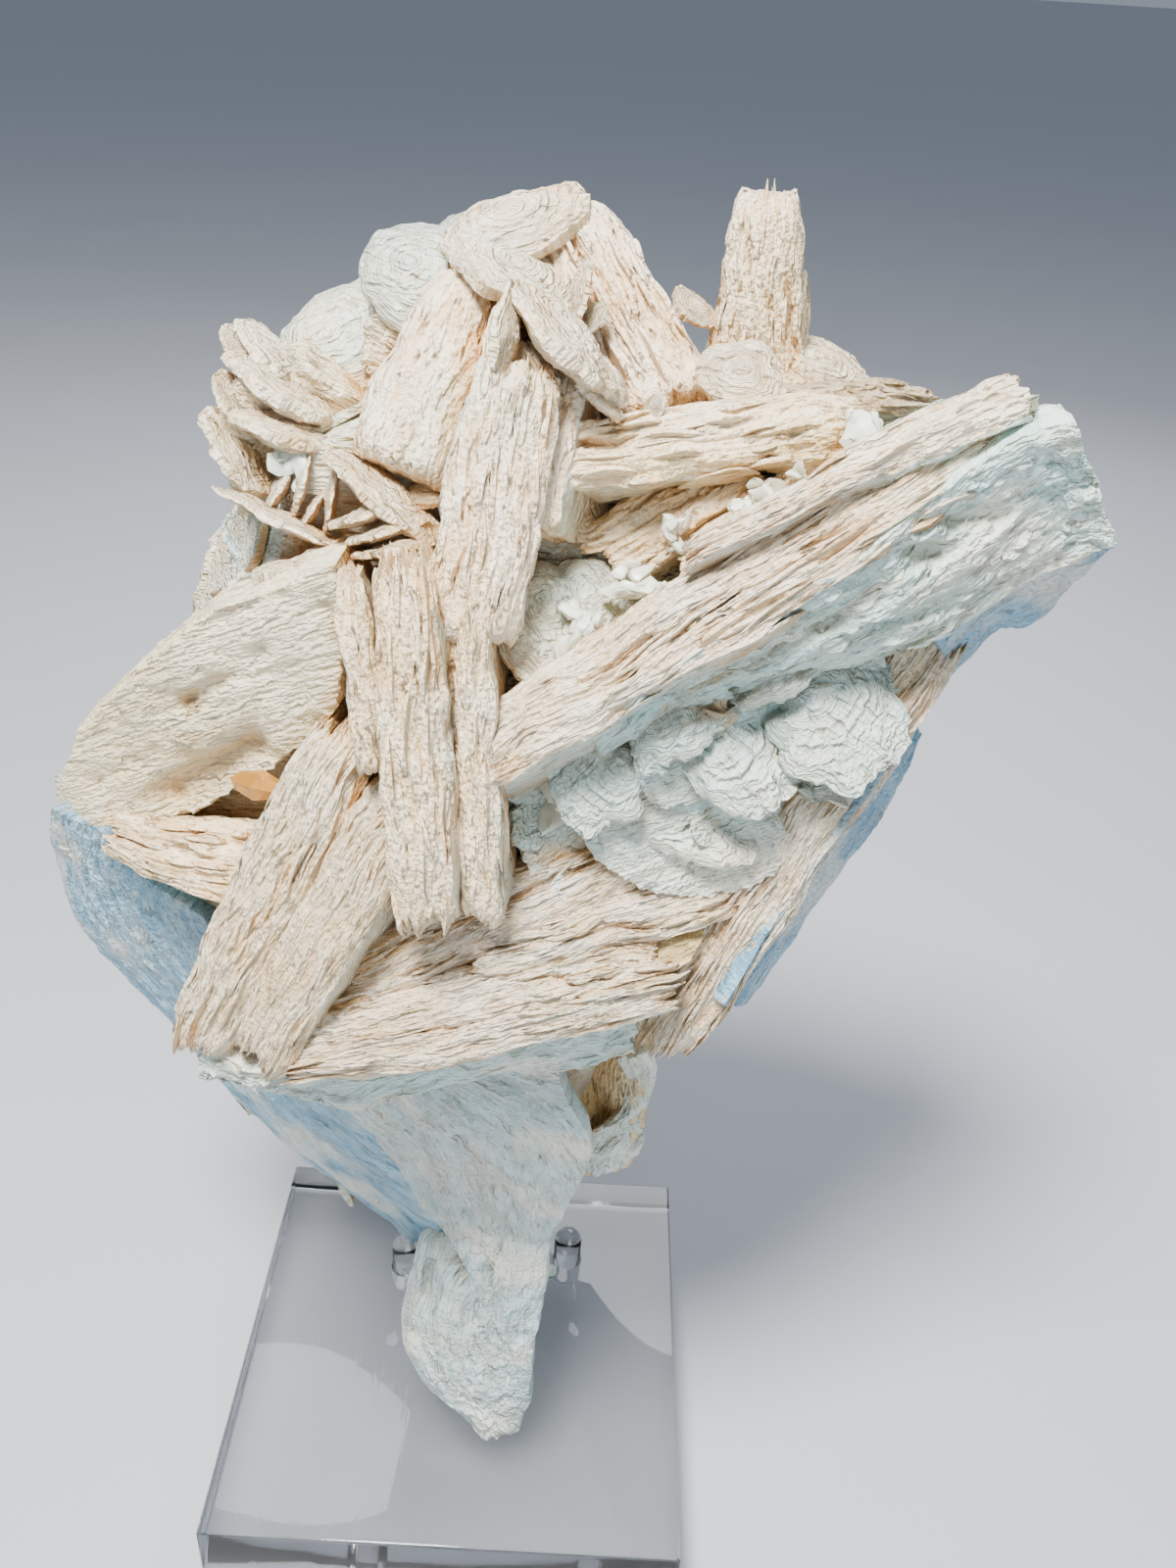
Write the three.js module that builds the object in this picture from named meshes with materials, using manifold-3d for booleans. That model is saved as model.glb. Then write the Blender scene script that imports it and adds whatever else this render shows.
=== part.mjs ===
import * as THREE from 'three';
import { mergeVertices } from 'three/addons/utils/BufferGeometryUtils.js';
import Module from 'manifold-3d';

// Bladed calcite cluster standing on a clear square block between two short domed pegs.
// Millimetres. X to the right, Y away from the front, Z up.
// The origin is the middle of the underside of the block.

// Clear block
const BLOCK_SIDE = 101.6;
const BLOCK_HEIGHT = 19;
const BLOCK_EDGE_BREAK = 0.6;

// Domed pegs, each in a blind hole
const PEG_DIAMETER = 6.8;
const PEG_RISE = 10;
const PEG_DEPTH = 9;
const PEG_SIDES = 16;
const DOME_STEPS = 4;
const FIT_GAP = 0.3;
const PEG_LEFT = [-16.5, 20];
const PEG_RIGHT = [24, 25];

// Specimen: stacks of thin plates seen on their edges. Each runs from one end to the other along the
// middle of its front edge, and its plates reach back from that edge.
// Columns: name, start, end, direction back, thickness of the stack, width of its plates, their number.
const STACKS = [
  // long bar across the front and the strand above it
  ['long bar', [3, -46, 206], [70, -39, 257], [0.2, 0.8, -0.6], 12, 34, 3],
  ['upper strand', [31, -42, 236], [72, -40, 263], [0.1, 0.8, -0.6], 6, 26, 2],
  ['right back edge', [66, -10, 204], [94, -8, 232], [-0.2, 0.9, -0.3], 9, 30, 2],
  ['right lower', [68, -31, 221], [34, -42, 152], [0.1, 0.9, -0.4], 13, 40, 3],
  // bundles that cross the front low down
  ['bottom front', [-25, -52, 156], [36, -46, 172], [0, 0.8, -0.6], 14, 44, 3],
  ['bottom middle', [5, -46, 171], [44, -38, 182], [0, 0.9, -0.5], 9, 34, 2],
  ['bottom top', [-17, -46, 164], [29, -38, 188], [0, 0.9, -0.5], 10, 34, 3],
  // left pair
  ['left diagonal outer', [-39, -51, 153], [-14, -42, 207], [0, 0.9, -0.5], 12, 40, 3],
  ['left diagonal inner', [-30, -53, 152], [-5, -47, 202], [0.1, 0.8, -0.6], 11, 38, 3],
  // upright bundle in the middle
  ['upright left', [-11, -44, 232], [-9, -47, 203], [-0.1, 0.8, -0.5], 6, 30, 2],
  ['upright middle', [-5, -47, 235], [-1, -54, 182], [0, 0.9, -0.5], 9, 34, 3],
  ['upright right', [-1, -44, 232], [7, -50, 182], [0.1, 0.9, -0.5], 8, 32, 2],
  ['upper upright', [9, -32, 259], [4, -44, 224], [-0.1, 0.8, -0.5], 13, 30, 2],
  ['upper spike', [6, -22, 265], [5, -34, 250], [0, 0.9, -0.5], 6, 22, 2],
  ['side spike', [15, -24, 257], [12, -34, 237], [0.2, 0.8, -0.5], 5, 18, 2],
  ['left fan', [-28, -36, 178], [-56, -30, 181], [0, 0.9, -0.5], 12, 24, 2],
  // blade beside the leg
  ['flap', [35, -26, 134], [34, -18, 98], [-0.6, 0.7, -0.3], 3, 16, 1],
  // top group
  ['top diagonal', [15, -6, 272], [31, -22, 254], [-0.1, 0.8, -0.5], 14, 34, 2],
  ['slanting bundle', [2, -15, 267], [-8, -29, 243], [-0.1, 0.8, -0.5], 14, 26, 3],
  ['lone column', [42, 0, 277], [42, -3, 246], [0.1, 1, 0.1], 13, 12, 2],
  ['level bundle', [14, -30, 247], [57, -22, 252], [0, 0.9, -0.5], 9, 28, 2],
  ['far level bundle', [37, -12, 251], [69, -10, 252], [0, 0.9, -0.5], 5, 20, 2],
  ['slanting pair', [17, -25, 232], [39, -22, 245], [0, 0.9, -0.5], 5, 22, 1],
  ['slanting low', [22, -27, 230], [42, -24, 242], [0, 0.9, -0.5], 5, 22, 1],
  ['deep slant', [29, -16, 227], [54, -12, 242], [0, 0.9, -0.5], 7, 20, 2],
  // back, which repeats the habit of the front
  ['back bar', [-52, 40, 148], [24, 46, 212], [0, -1, 0], 13, 22, 2],
  ['back cross', [-34, 42, 212], [16, 45, 166], [0, -1, 0], 11, 22, 1],
  ['back right', [70, 34, 208], [30, 43, 130], [0, -1, 0], 13, 26, 2],
  ['back level', [20, 44, 196], [74, 36, 204], [0, -1, 0], 10, 22, 2],
  ['back top', [-18, 36, 240], [50, 34, 230], [0, -1, 0], 12, 24, 2],
  ['back crest', [8, 22, 268], [-8, 38, 222], [0, -1, 0], 11, 22, 2],
  ['back low', [-42, 36, 136], [8, 34, 84], [0, -1, 0], 12, 24, 1],
  ['back foot', [26, 40, 128], [8, 22, 62], [0, -1, 0], 11, 24, 1],
].map(([name, from, to, back, thick, wide, plates]) => ({ name, from, to, back, thick, wide, plates }));

// Broad plates seen on their faces: the outline is [x, z] from the front, `at` is a point of the face,
// and `lean` is how much y grows for each millimetre of x and of z.
const FACES = [
  { name: 'left face', at: [-38, -32, 206], lean: [-0.12, -0.1], thick: 9, terraces: 2,
    outline: [
      [-66, 187], [-60, 199], [-48, 210], [-34, 222], [-15, 232], [-14, 222], [-16, 208], [-26, 193],
      [-41, 183], [-59, 179],
    ] },
  { name: 'petal bed', at: [44, -34, 207], lean: [0.15, 0.1], thick: 14, terraces: 1,
    outline: [
      [15, 204], [28, 212], [43, 221], [52, 225], [62, 222], [68, 210], [65, 199], [55, 189], [43, 181],
      [29, 183], [19, 187],
    ] },
  { name: 'heel', at: [4, 4, 40], lean: [0, -0.05], thick: 17, terraces: 1,
    outline: [[-8, 66], [-12, 44], [-9, 28], [-4, 19.4], [11, 19.4], [16, 30], [19, 46], [19, 66]] },
  { name: 'flap root', at: [27, -14, 118], lean: [0, 0.2], thick: 6, terraces: 1,
    outline: [[16, 132], [37, 132], [36, 106], [33, 98], [26, 96], [16, 100]] },
  { name: 'dome bed', at: [17, -24, 222], lean: [0, 0.3], thick: 8, terraces: 1,
    outline: [
      [5, 223], [8, 229], [14, 232], [20, 232], [25, 227], [27, 220], [20, 215], [14, 212], [7, 210],
    ] },
  { name: 'corner bed', at: [-24, -14, 240], lean: [0.2, -0.3], thick: 9, terraces: 1,
    outline: [
      [-35, 228], [-35, 243], [-30, 252], [-22, 252], [-13, 246], [-9, 238], [-13, 230], [-24, 226],
    ] },
  { name: 'top bed', at: [8, -5, 262], lean: [0.1, 0.3], thick: 9, terraces: 1,
    outline: [
      [-12, 255], [-8, 264], [0, 269], [10, 271], [19, 270], [26, 265], [30, 256], [16, 251], [0, 250],
    ] },
];

// Curved surfaces: thickness, then pairs of edge points from one end of the surface to the other.
const SHEETS = [
  ['left skin', 7, [
    [[-77, 0, 165], [-64, -14, 171]], [[-80, 4, 152], [-53, -21, 165]], [[-78, 4, 136], [-42, -25, 160]],
    [[-71, 4, 123], [-34, -28, 153]], [[-62, 4, 110], [-26, -30, 143]], [[-52, 3, 94], [-19, -28, 126]],
    [[-38, 2, 77], [-12, -24, 110]], [[-25, 2, 64], [-7, -17, 91]], [[-12, 1, 52], [-4, -10, 66]],
  ]],
  ['leg sheet', 12, [
    [[-37, -27, 136], [25, -38, 144]], [[-24, -27, 124], [24, -36, 135]],
    [[-16, -24, 111], [24, -32, 118]], [[-10, -17, 90], [22, -26, 97]], [[-7, -11, 70], [19, -21, 80]],
  ]],
  ['leg', 14, [
    [[-6, -7, 82], [18, -16, 92]], [[-8, -10, 72], [19, -20, 82]], [[-10, -14, 61], [19, -21, 69]],
    [[-12, -17, 48], [18, -22, 58]],
    [[-10, -19, 37], [17, -23, 48]], [[-6, -21, 30], [17, -24, 39]], [[-1, -22, 26], [17, -24, 31]],
    [[5, -23, 20], [15, -25, 22]],
  ]],
  ['pale lip', 16, [
    [[-39, -48, 152], [-38, -45, 145]], [[-31, -50, 151], [-31, -46, 142]],
    [[-22, -50, 152], [-24, -45, 139]], [[-12, -50, 154], [-15, -44, 137]],
    [[-1, -49, 160], [-2, -43, 141]], [[10, -48, 161], [10, -42, 145]], [[20, -47, 162], [21, -41, 146]],
    [[30, -45, 165], [32, -39, 149]],
  ]],
  ['right face', 12, [
    [[19, -47, 213], [20, -45, 206]], [[29, -46, 218], [31, -44, 212]], [[41, -44, 225], [45, -42, 219]],
    [[52, -42, 235], [58, -40, 224]], [[58, -42, 243], [69, -36, 227]], [[64, -42, 252], [77, -36, 236]],
    [[74, -42, 255], [84, -36, 240]], [[83, -40, 252], [90, -36, 241]],
  ]],
  ['right flank', 5, [
    [[68, -36, 226], [75, -24, 214]], [[73, -36, 233], [81, -22, 221]], [[77, -36, 236], [86, -20, 221]],
    [[81, -36, 237], [89, -22, 227]], [[84, -36, 240], [90, -24, 230]], [[88, -36, 242], [91, -32, 239]],
  ]],
  ['lower flank', 5, [
    [[69, -33, 212], [72, -26, 205]], [[67, -35, 204], [71, -26, 198]], [[63, -36, 193], [68, -25, 187]],
    [[59, -38, 183], [62, -24, 173]], [[54, -40, 174], [56, -24, 158]], [[47, -43, 163], [50, -27, 150]],
  ]],
].map(([name, thick, rows]) => ({ name, thick, rows }));

// Blades with round rims: middle, half length, half width, thickness, then in degrees the slope of the
// length and the turn of the blade from its face towards its edge, both seen along the facing direction.
const TABLETS = [
  ['disc left', [-19, 0, 253], 10, 9, 5, 30, 30],
  ['disc upper', [-8, -4, 262], 9, 8, 4, -20, 25],
  ['crown', [9, -4, 271], 13, 9, 6, 15, 55],
  ['arch', [7, -13, 266], 10, 8, 5, -28, 45],
  ['chevron right', [13, -26, 262], 10, 7, 4.5, -45, 70],
  ['chevron left', [7, -28, 262], 6.5, 4, 3.5, -97, 75],
  ['chevron tip', [20, -24, 256], 5, 4, 3.5, -55, 65],
  ['small blade', [16, -18, 265], 5, 3, 2.5, 82, 70],
  ['disc right', [39, -18, 255], 6, 5, 3, -10, 25],
  ['far petal', [53, 2, 252], 8.5, 6, 5, -20, 35],
  ['fan a', [-27, -12, 252], 8.5, 6, 4, -40, 72],
  ['fan b', [-26, -16, 249], 9.5, 6, 4, -30, 75],
  ['fan c', [-33, -15, 247], 4.5, 3.5, 3.5, -55, 55],
  ['fan d', [-20, -8, 248], 8, 5.5, 4, -52, 65],
  ['fan f', [-25, -18, 244], 8.5, 6, 4, -15, 70],
  ['fan g', [-33, -16, 239], 7.5, 5, 4, -55, 62],
  ['spear', [-25, -25, 233], 11, 4, 2.6, -22, 80],
  ['edge pale', [-33, -8, 221], 7.5, 5.5, 4, -52, 55],
  ['cross a', [-10, -26, 238], 10.5, 7, 4.5, -38, 68],
  ['comb a', [-12, -29, 236], 5.5, 4, 2.8, 25, 75],
  ['comb b', [-9, -30, 234], 6, 4, 2.8, 22, 75],
  ['ledge', [-20, -28, 228], 9, 5, 4, 18, 72],
  ['tuft b', [-26, -22, 236], 4.8, 3, 2.2, 62, 75],
  ['petal 1', [54, -33, 212], 11.5, 9.5, 4.5, 60, 12],
  ['petal 2', [43, -35, 205], 12.5, 11, 4.5, -40, 12],
  ['petal 3', [39, -35, 195], 12, 8.5, 4.5, -25, 14],
  ['petal 4', [32, -40, 211], 8, 6.5, 4, 20, 20],
  ['petal 6', [24, -40, 202], 9, 8, 5, 50, 15],
  ['petal 7', [27, -39, 189], 8, 6.5, 4, 35, 20],
  ['petal 10', [47, -40, 219], 8, 5.5, 3.5, -20, 18],
  ['dome a', [15, -31, 221], 10, 9, 6, -60, 20],
  ['dome b', [21, -28, 224], 8, 7, 4, -40, 22],
  ['dome c', [24, -31, 220], 5.5, 4.5, 3, -20, 30],
  ['recess disc', [17, -18, 235], 4.5, 4, 2.5, -80, 25],
].map(([name, middle, long, short, thick, slope, turn]) => (
  { name, middle, long, short, thick, slope, turn }));
const FACING_RISE = 31;
const TABLET_CORNERS = 7;

// Small round crystals: centre, direction they face, radius.
const DISCS = [
  { at: [31, -29, 236], facing: [0.3, -0.8, 0.5], radius: 4 },
  { at: [36, -31, 234], facing: [-0.4, -0.8, 0.4], radius: 4 },
  { at: [44, -25, 240], facing: [0.5, -0.7, 0.5], radius: 5 },
  { at: [25, -29, 228], facing: [-0.2, -0.7, 0.7], radius: 5 },
  { at: [20, -33, 222], facing: [0.1, -0.8, 0.6], radius: 6 },
  { at: [26, -35, 217], facing: [0.4, -0.8, 0.4], radius: 5 },
  { at: [55, -25, 251], facing: [0.7, -0.6, 0.3], radius: 5 },
  { at: [-32, -20, 219], facing: [-0.3, -0.8, 0.5], radius: 5 },
  { at: [-24, -22, 240], facing: [0.2, -0.8, 0.6], radius: 4 },
  { at: [14, -35, 196], facing: [0.2, -0.9, 0.3], radius: 7 },
  { at: [-20, -30, 200], facing: [0.3, -0.9, 0.2], radius: 7 },
];
const DISC_THICKNESS = 5;

// Small amber crystal in the left hollow
const AMBER = { at: [-27, -33, 196], length: 8, girth: 4.4, facing: [1, -0.2, -0.1] };

// The massive part behind the plates: outlines [x, z] from the front at three depths.
const CORE = [
  { y: -22,
    outline: [
      [-46, 188], [-49, 174], [-38, 153], [-24, 134], [-9, 117], [4, 104], [18, 110], [24, 129],
      [35, 152], [50, 175], [60, 198], [65, 217], [74, 231], [60, 224], [46, 222], [28, 218], [12, 244],
      [-2, 252], [-22, 242], [-33, 207],
    ] },
  { y: 6,
    outline: [
      [-78, 164], [-78, 145], [-67, 122], [-49, 92], [-27, 66], [-5, 47], [20, 58], [26, 83], [41, 115],
      [61, 148], [76, 180], [80, 205], [94, 228], [76, 237], [55, 245], [33, 246], [10, 269], [-9, 260],
      [-35, 238], [-52, 191],
    ] },
  { y: 32,
    outline: [
      [-56, 156], [-56, 138], [-44, 116], [-30, 97], [-15, 82], [0, 76], [14, 78], [22, 92], [32, 112],
      [46, 136], [58, 160], [64, 184], [74, 206], [64, 218], [48, 228], [31, 230], [10, 248], [-8, 242],
      [-26, 222], [-40, 188],
    ] },
];

const group = new THREE.Group();
const wasm = await Module();
wasm.setup();

/** Steady pseudo-random numbers from 0 to 1. */
function dice(seed) {
  let state = seed;
  return () => {
    state = (state * 1664525 + 1013904223) % 4294967296;
    return state / 4294967296;
  };
}

/** A closed geometry with only shared positions, as a solid for joining and cutting. */
function solidOf(geometry) {
  const bare = geometry.clone();
  bare.deleteAttribute('normal');
  bare.deleteAttribute('uv');
  const merged = mergeVertices(bare, 1e-4);
  const mesh = new wasm.Mesh({
    numProp: 3,
    vertProperties: new Float32Array(merged.attributes.position.array),
    triVerts: new Uint32Array(merged.index.array),
  });
  return new wasm.Manifold(mesh);
}

/** The geometry of a solid. */
function geometryOf(solid) {
  const mesh = solid.getMesh();
  const geometry = new THREE.BufferGeometry();
  geometry.setAttribute('position', new THREE.BufferAttribute(new Float32Array(mesh.vertProperties), 3));
  geometry.setIndex(new THREE.BufferAttribute(new Uint32Array(mesh.triVerts), 1));
  geometry.computeVertexNormals();
  return geometry;
}

/** Only the outer surface of a geometry: the voids that the plates close off are filled. */
function outerSurface(geometry) {
  const index = Array.from(geometry.index.array);
  const owner = Array.from({ length: geometry.attributes.position.count }, (_, vertex) => vertex);
  const find = (vertex) => {
    let root = vertex;
    while (owner[root] !== root) {
      owner[root] = owner[owner[root]];
      root = owner[root];
    }
    return root;
  };
  const triangles = [];
  for (let i = 0; i < index.length; i += 3) {
    triangles.push(index.slice(i, i + 3));
    owner[find(index[i + 1])] = find(index[i]);
    owner[find(index[i + 2])] = find(index[i]);
  }
  const sizes = new Map();
  triangles.forEach(([a]) => sizes.set(find(a), (sizes.get(find(a)) ?? 0) + 1));
  const largest = [...sizes.entries()].sort((one, other) => other[1] - one[1])[0][0];
  geometry.setIndex(triangles.filter(([a]) => find(a) === largest).flat());
  return geometry;
}

/** A flat prism: outline points [a, b], from depth 0 to `depth`. */
function prism(outline, depth) {
  const shape = new THREE.Shape(outline.map(([a, b]) => new THREE.Vector2(a, b)));
  return new THREE.ExtrudeGeometry(shape, { depth, bevelEnabled: false, steps: 1 });
}

/** The plates of one stack, each an uneven board with broken ends. */
function stackSolids(stack, seed) {
  const roll = dice(seed);
  const start = new THREE.Vector3(...stack.from);
  const along = new THREE.Vector3(...stack.to).sub(start);
  const length = along.length();
  along.normalize();
  const inward = new THREE.Vector3(...stack.back);
  inward.addScaledVector(along, -inward.dot(along)).normalize();
  const across = new THREE.Vector3().crossVectors(along, inward);
  const pitch = stack.thick / stack.plates;
  return Array.from({ length: stack.plates }, (_, index) => {
    const first = (roll() - 0.4) * 0.07 * length;
    const last = length + (roll() - 0.6) * 0.07 * length;
    const front = (index % 2) * 1.2 + roll() * 1.2;
    const at = (part) => first + part * (last - first);
    const outline = [
      [at(0), front + 3 + roll() * 3],
      [at(0.05 + 0.05 * roll()), front + roll()],
      [at(0.4 + 0.2 * roll()), front + 0.8 * roll() - 0.4],
      [at(0.9 + 0.05 * roll()), front + roll()],
      [at(1), front + 3 + roll() * 3],
      [at(0.94), stack.wide],
      [at(0.06), stack.wide],
    ];
    const geometry = prism(outline, pitch * 1.08);
    const middle = start.clone().addScaledVector(across, index * pitch - stack.thick / 2);
    geometry.applyMatrix4(new THREE.Matrix4().makeBasis(along, inward, across).setPosition(middle));
    return solidOf(geometry);
  });
}

/** A broad plate with lower steps around its middle. */
function faceSolids(face) {
  const [x0, y0, z0] = face.at;
  const [leanX, leanZ] = face.lean;
  const outward = new THREE.Vector3(leanX, -1, leanZ).normalize();
  const middle = face.outline.reduce((sum, [x, z]) => [sum[0] + x, sum[1] + z], [0, 0])
    .map((total) => total / face.outline.length);
  return Array.from({ length: face.terraces }, (_, index) => {
    const shrink = 1 - 0.2 * index;
    const outline = face.outline.map(([x, z]) => [
      middle[0] + (x - middle[0]) * shrink,
      middle[1] + (z - middle[1]) * shrink,
    ]);
    const geometry = prism(outline, face.thick);
    const position = geometry.attributes.position;
    for (let i = 0; i < position.count; i += 1) {
      const x = position.getX(i);
      const z = position.getY(i);
      const lift = position.getZ(i) - face.thick + index * 1.4;
      const point = new THREE.Vector3(x, y0 + leanX * (x - x0) + leanZ * (z - z0), z);
      point.addScaledVector(outward, lift);
      position.setXYZ(i, point.x, point.y, point.z);
    }
    return solidOf(geometry);
  });
}

/** A closed solid through rings of points, with a list of triangles for each end. */
function lofted(rings, firstCap, lastCap) {
  const count = rings[0].length;
  const points = rings.flat();
  const base = (rings.length - 1) * count;
  const faces = [];
  for (let ring = 0; ring + 1 < rings.length; ring += 1) {
    for (let i = 0; i < count; i += 1) {
      const near = ring * count + i;
      const next = ring * count + ((i + 1) % count);
      faces.push([near, near + count, next + count], [near, next + count, next]);
    }
  }
  firstCap.forEach(([a, b, c]) => faces.push([a, b, c]));
  lastCap.forEach(([a, b, c]) => faces.push([base + a, base + c, base + b]));
  const volume = faces.reduce((sum, [a, b, c]) => {
    const [first, second, third] = [a, b, c].map((corner) => new THREE.Vector3(...points[corner]));
    return sum + first.dot(second.cross(third));
  }, 0);
  const outward = volume > 0 ? faces : faces.map(([a, b, c]) => [a, c, b]);
  const geometry = new THREE.BufferGeometry();
  geometry.setAttribute('position', new THREE.Float32BufferAttribute(points.flat(), 3));
  geometry.setIndex(outward.flat());
  return geometry;
}

function flatCap(outline) {
  return THREE.ShapeUtils.triangulateShape(outline.map(([a, b]) => new THREE.Vector2(a, b)), []);
}

/** The massive part, lofted from front to back. */
function coreSolid() {
  const rings = CORE.map((ring) => ring.outline.map(([x, z]) => [x, ring.y, z]));
  return solidOf(lofted(rings, flatCap(CORE[0].outline), flatCap(CORE[CORE.length - 1].outline)));
}

/** A curved surface with its thickness behind it. */
function sheetSolid({ thick, rows }) {
  const middles = rows.map(([left, right]) => (
    new THREE.Vector3(...left).add(new THREE.Vector3(...right)).multiplyScalar(0.5)));
  const rings = rows.map(([left, right], index) => {
    const run = middles[Math.min(index + 1, rows.length - 1)].clone().sub(middles[Math.max(index - 1, 0)]);
    const across = new THREE.Vector3(...right).sub(new THREE.Vector3(...left));
    const inward = across.cross(run).normalize();
    inward.multiplyScalar(inward.y < 0 ? -thick : thick);
    const behind = (point) => new THREE.Vector3(...point).add(inward).toArray();
    return [left, right, behind(right), behind(left)];
  });
  const square = [[0, 1, 2], [0, 2, 3]];
  return solidOf(lofted(rings, square, square));
}

/** A blade with an uneven round rim, thin at the rim and flat in the middle of both sides. */
function tabletSolid({ middle, long, short, thick, slope, turn }, seed) {
  const roll = dice(seed);
  const reach = Array.from({ length: TABLET_CORNERS }, () => 0.94 + 0.16 * roll());
  const ring = (share, height) => reach.map((size, corner) => {
    const angle = (corner / TABLET_CORNERS) * Math.PI * 2;
    return [share * size * long * Math.cos(angle), share * size * short * Math.sin(angle), height];
  });
  const rings = [ring(0.68, -thick / 2), ring(1, 0), ring(0.68, thick / 2)];
  const geometry = lofted(rings, flatCap(rings[0]), flatCap(rings[2]));
  const level = new THREE.Vector3(1, 0, 0);
  const rise = THREE.MathUtils.degToRad(FACING_RISE);
  const toward = new THREE.Vector3(0, -Math.cos(rise), Math.sin(rise));
  const along = level.applyAxisAngle(toward, THREE.MathUtils.degToRad(slope));
  const facing = toward.applyAxisAngle(along, -THREE.MathUtils.degToRad(turn));
  const across = facing.clone().cross(along);
  const pose = new THREE.Matrix4().makeBasis(along, across, facing).setPosition(...middle);
  return solidOf(geometry.applyMatrix4(pose));
}

/** Turns a geometry whose axis is Z towards a direction and moves it. */
function aimed(geometry, facing, at) {
  const turn = new THREE.Quaternion();
  turn.setFromUnitVectors(new THREE.Vector3(0, 0, 1), new THREE.Vector3(...facing).normalize());
  return geometry.applyQuaternion(turn).translate(...at);
}

/** A small round crystal: an uneven eight-sided tablet. */
function discSolid(disc, seed) {
  const roll = dice(seed);
  const outline = Array.from({ length: 8 }, (_, corner) => {
    const angle = (corner + 0.4 * roll()) * Math.PI / 4;
    const reach = disc.radius * (0.85 + 0.25 * roll());
    return [reach * Math.cos(angle), reach * Math.sin(angle)];
  });
  const tablet = prism(outline, DISC_THICKNESS).translate(0, 0, -DISC_THICKNESS / 2);
  return solidOf(aimed(tablet, disc.facing, disc.at));
}

/** The amber crystal: a six-sided spindle. */
function amberSolid() {
  const half = AMBER.length / 2;
  const girth = AMBER.girth / 2;
  const profile = [[0, -half], [girth * 0.6, -half * 0.7], [girth, 0], [girth * 0.6, half * 0.7], [0, half]];
  const spindle = new THREE.LatheGeometry(profile.map(([r, z]) => new THREE.Vector2(r, z)), 6);
  return solidOf(aimed(spindle.rotateX(Math.PI / 2), AMBER.facing, AMBER.at));
}

/** A peg: straight side, domed top, flat bottom, with its axis on Z. */
function pegGeometry(radius, bottom, top) {
  const profile = [new THREE.Vector2(0, bottom), new THREE.Vector2(radius, bottom)];
  for (let step = 0; step < DOME_STEPS; step += 1) {
    const angle = (step / DOME_STEPS) * Math.PI / 2;
    profile.push(new THREE.Vector2(radius * Math.cos(angle), top - radius + radius * Math.sin(angle)));
  }
  profile.push(new THREE.Vector2(0, top));
  return new THREE.LatheGeometry(profile, PEG_SIDES).rotateX(Math.PI / 2);
}

function addMesh(name, geometry, color, roughness) {
  const mesh = new THREE.Mesh(geometry, new THREE.MeshStandardMaterial({ color, roughness, metalness: 0 }));
  mesh.name = name;
  group.add(mesh);
}

// Specimen
const loose = [
  ...STACKS.flatMap((stack, index) => stackSolids(stack, 11 + index)),
  ...FACES.flatMap(faceSolids),
  ...SHEETS.map(sheetSolid),
  ...TABLETS.map((tablet, index) => tabletSolid(tablet, 131 + index)),
  ...DISCS.map((disc, index) => discSolid(disc, 71 + index)),
  amberSolid(),
];
const grown = loose.reduce((sum, solid) => sum.add(solid), coreSolid());
// The foot stands on the block and beside the pegs with a hairline gap.
const standTop = BLOCK_HEIGHT + FIT_GAP;
const slice = new THREE.BoxGeometry(BLOCK_SIDE, BLOCK_SIDE, standTop);
const underFoot = solidOf(slice.translate(0, 0, standTop / 2));
const besidePegs = [PEG_LEFT, PEG_RIGHT].map(([x, y]) => {
  const room = pegGeometry(PEG_DIAMETER / 2 + FIT_GAP, 0, BLOCK_HEIGHT + PEG_RISE + FIT_GAP);
  return solidOf(room.translate(x, y, 0));
});
const cluster = [underFoot, ...besidePegs].reduce((sum, room) => sum.subtract(room), grown);
addMesh('calcite_cluster', outerSurface(geometryOf(cluster)), 0xe9dfcf, 0.7);

// Stand
const half = BLOCK_SIDE / 2 - BLOCK_EDGE_BREAK;
const square = new THREE.Shape([[-half, -half], [half, -half], [half, half], [-half, half]]
  .map(([x, y]) => new THREE.Vector2(x, y)));
const block = new THREE.ExtrudeGeometry(square, {
  depth: BLOCK_HEIGHT - 2 * BLOCK_EDGE_BREAK,
  bevelThickness: BLOCK_EDGE_BREAK,
  bevelSize: BLOCK_EDGE_BREAK,
  bevelSegments: 1,
});
block.translate(0, 0, BLOCK_EDGE_BREAK);
const pegBottom = BLOCK_HEIGHT - PEG_DEPTH;
const holes = [PEG_LEFT, PEG_RIGHT].map(([x, y]) => {
  const hole = pegGeometry(PEG_DIAMETER / 2 + FIT_GAP, pegBottom - FIT_GAP, BLOCK_HEIGHT + 20);
  return solidOf(hole.translate(x, y, 0));
});
const drilled = holes.reduce((sum, hole) => sum.subtract(hole), solidOf(block));
addMesh('stand_slab', geometryOf(drilled), 0xe8eef2, 0.05);
[['peg_rear_left', PEG_LEFT], ['peg_rear_right', PEG_RIGHT]].forEach(([name, [x, y]]) => {
  const peg = pegGeometry(PEG_DIAMETER / 2, pegBottom, BLOCK_HEIGHT + PEG_RISE);
  addMesh(name, peg.translate(x, y, 0), 0xe8eef2, 0.05);
});

export default group;
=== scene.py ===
import math

import bmesh
import bpy
import numpy as np
from mathutils import Matrix, Vector
from mathutils.bvhtree import BVHTree


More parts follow.
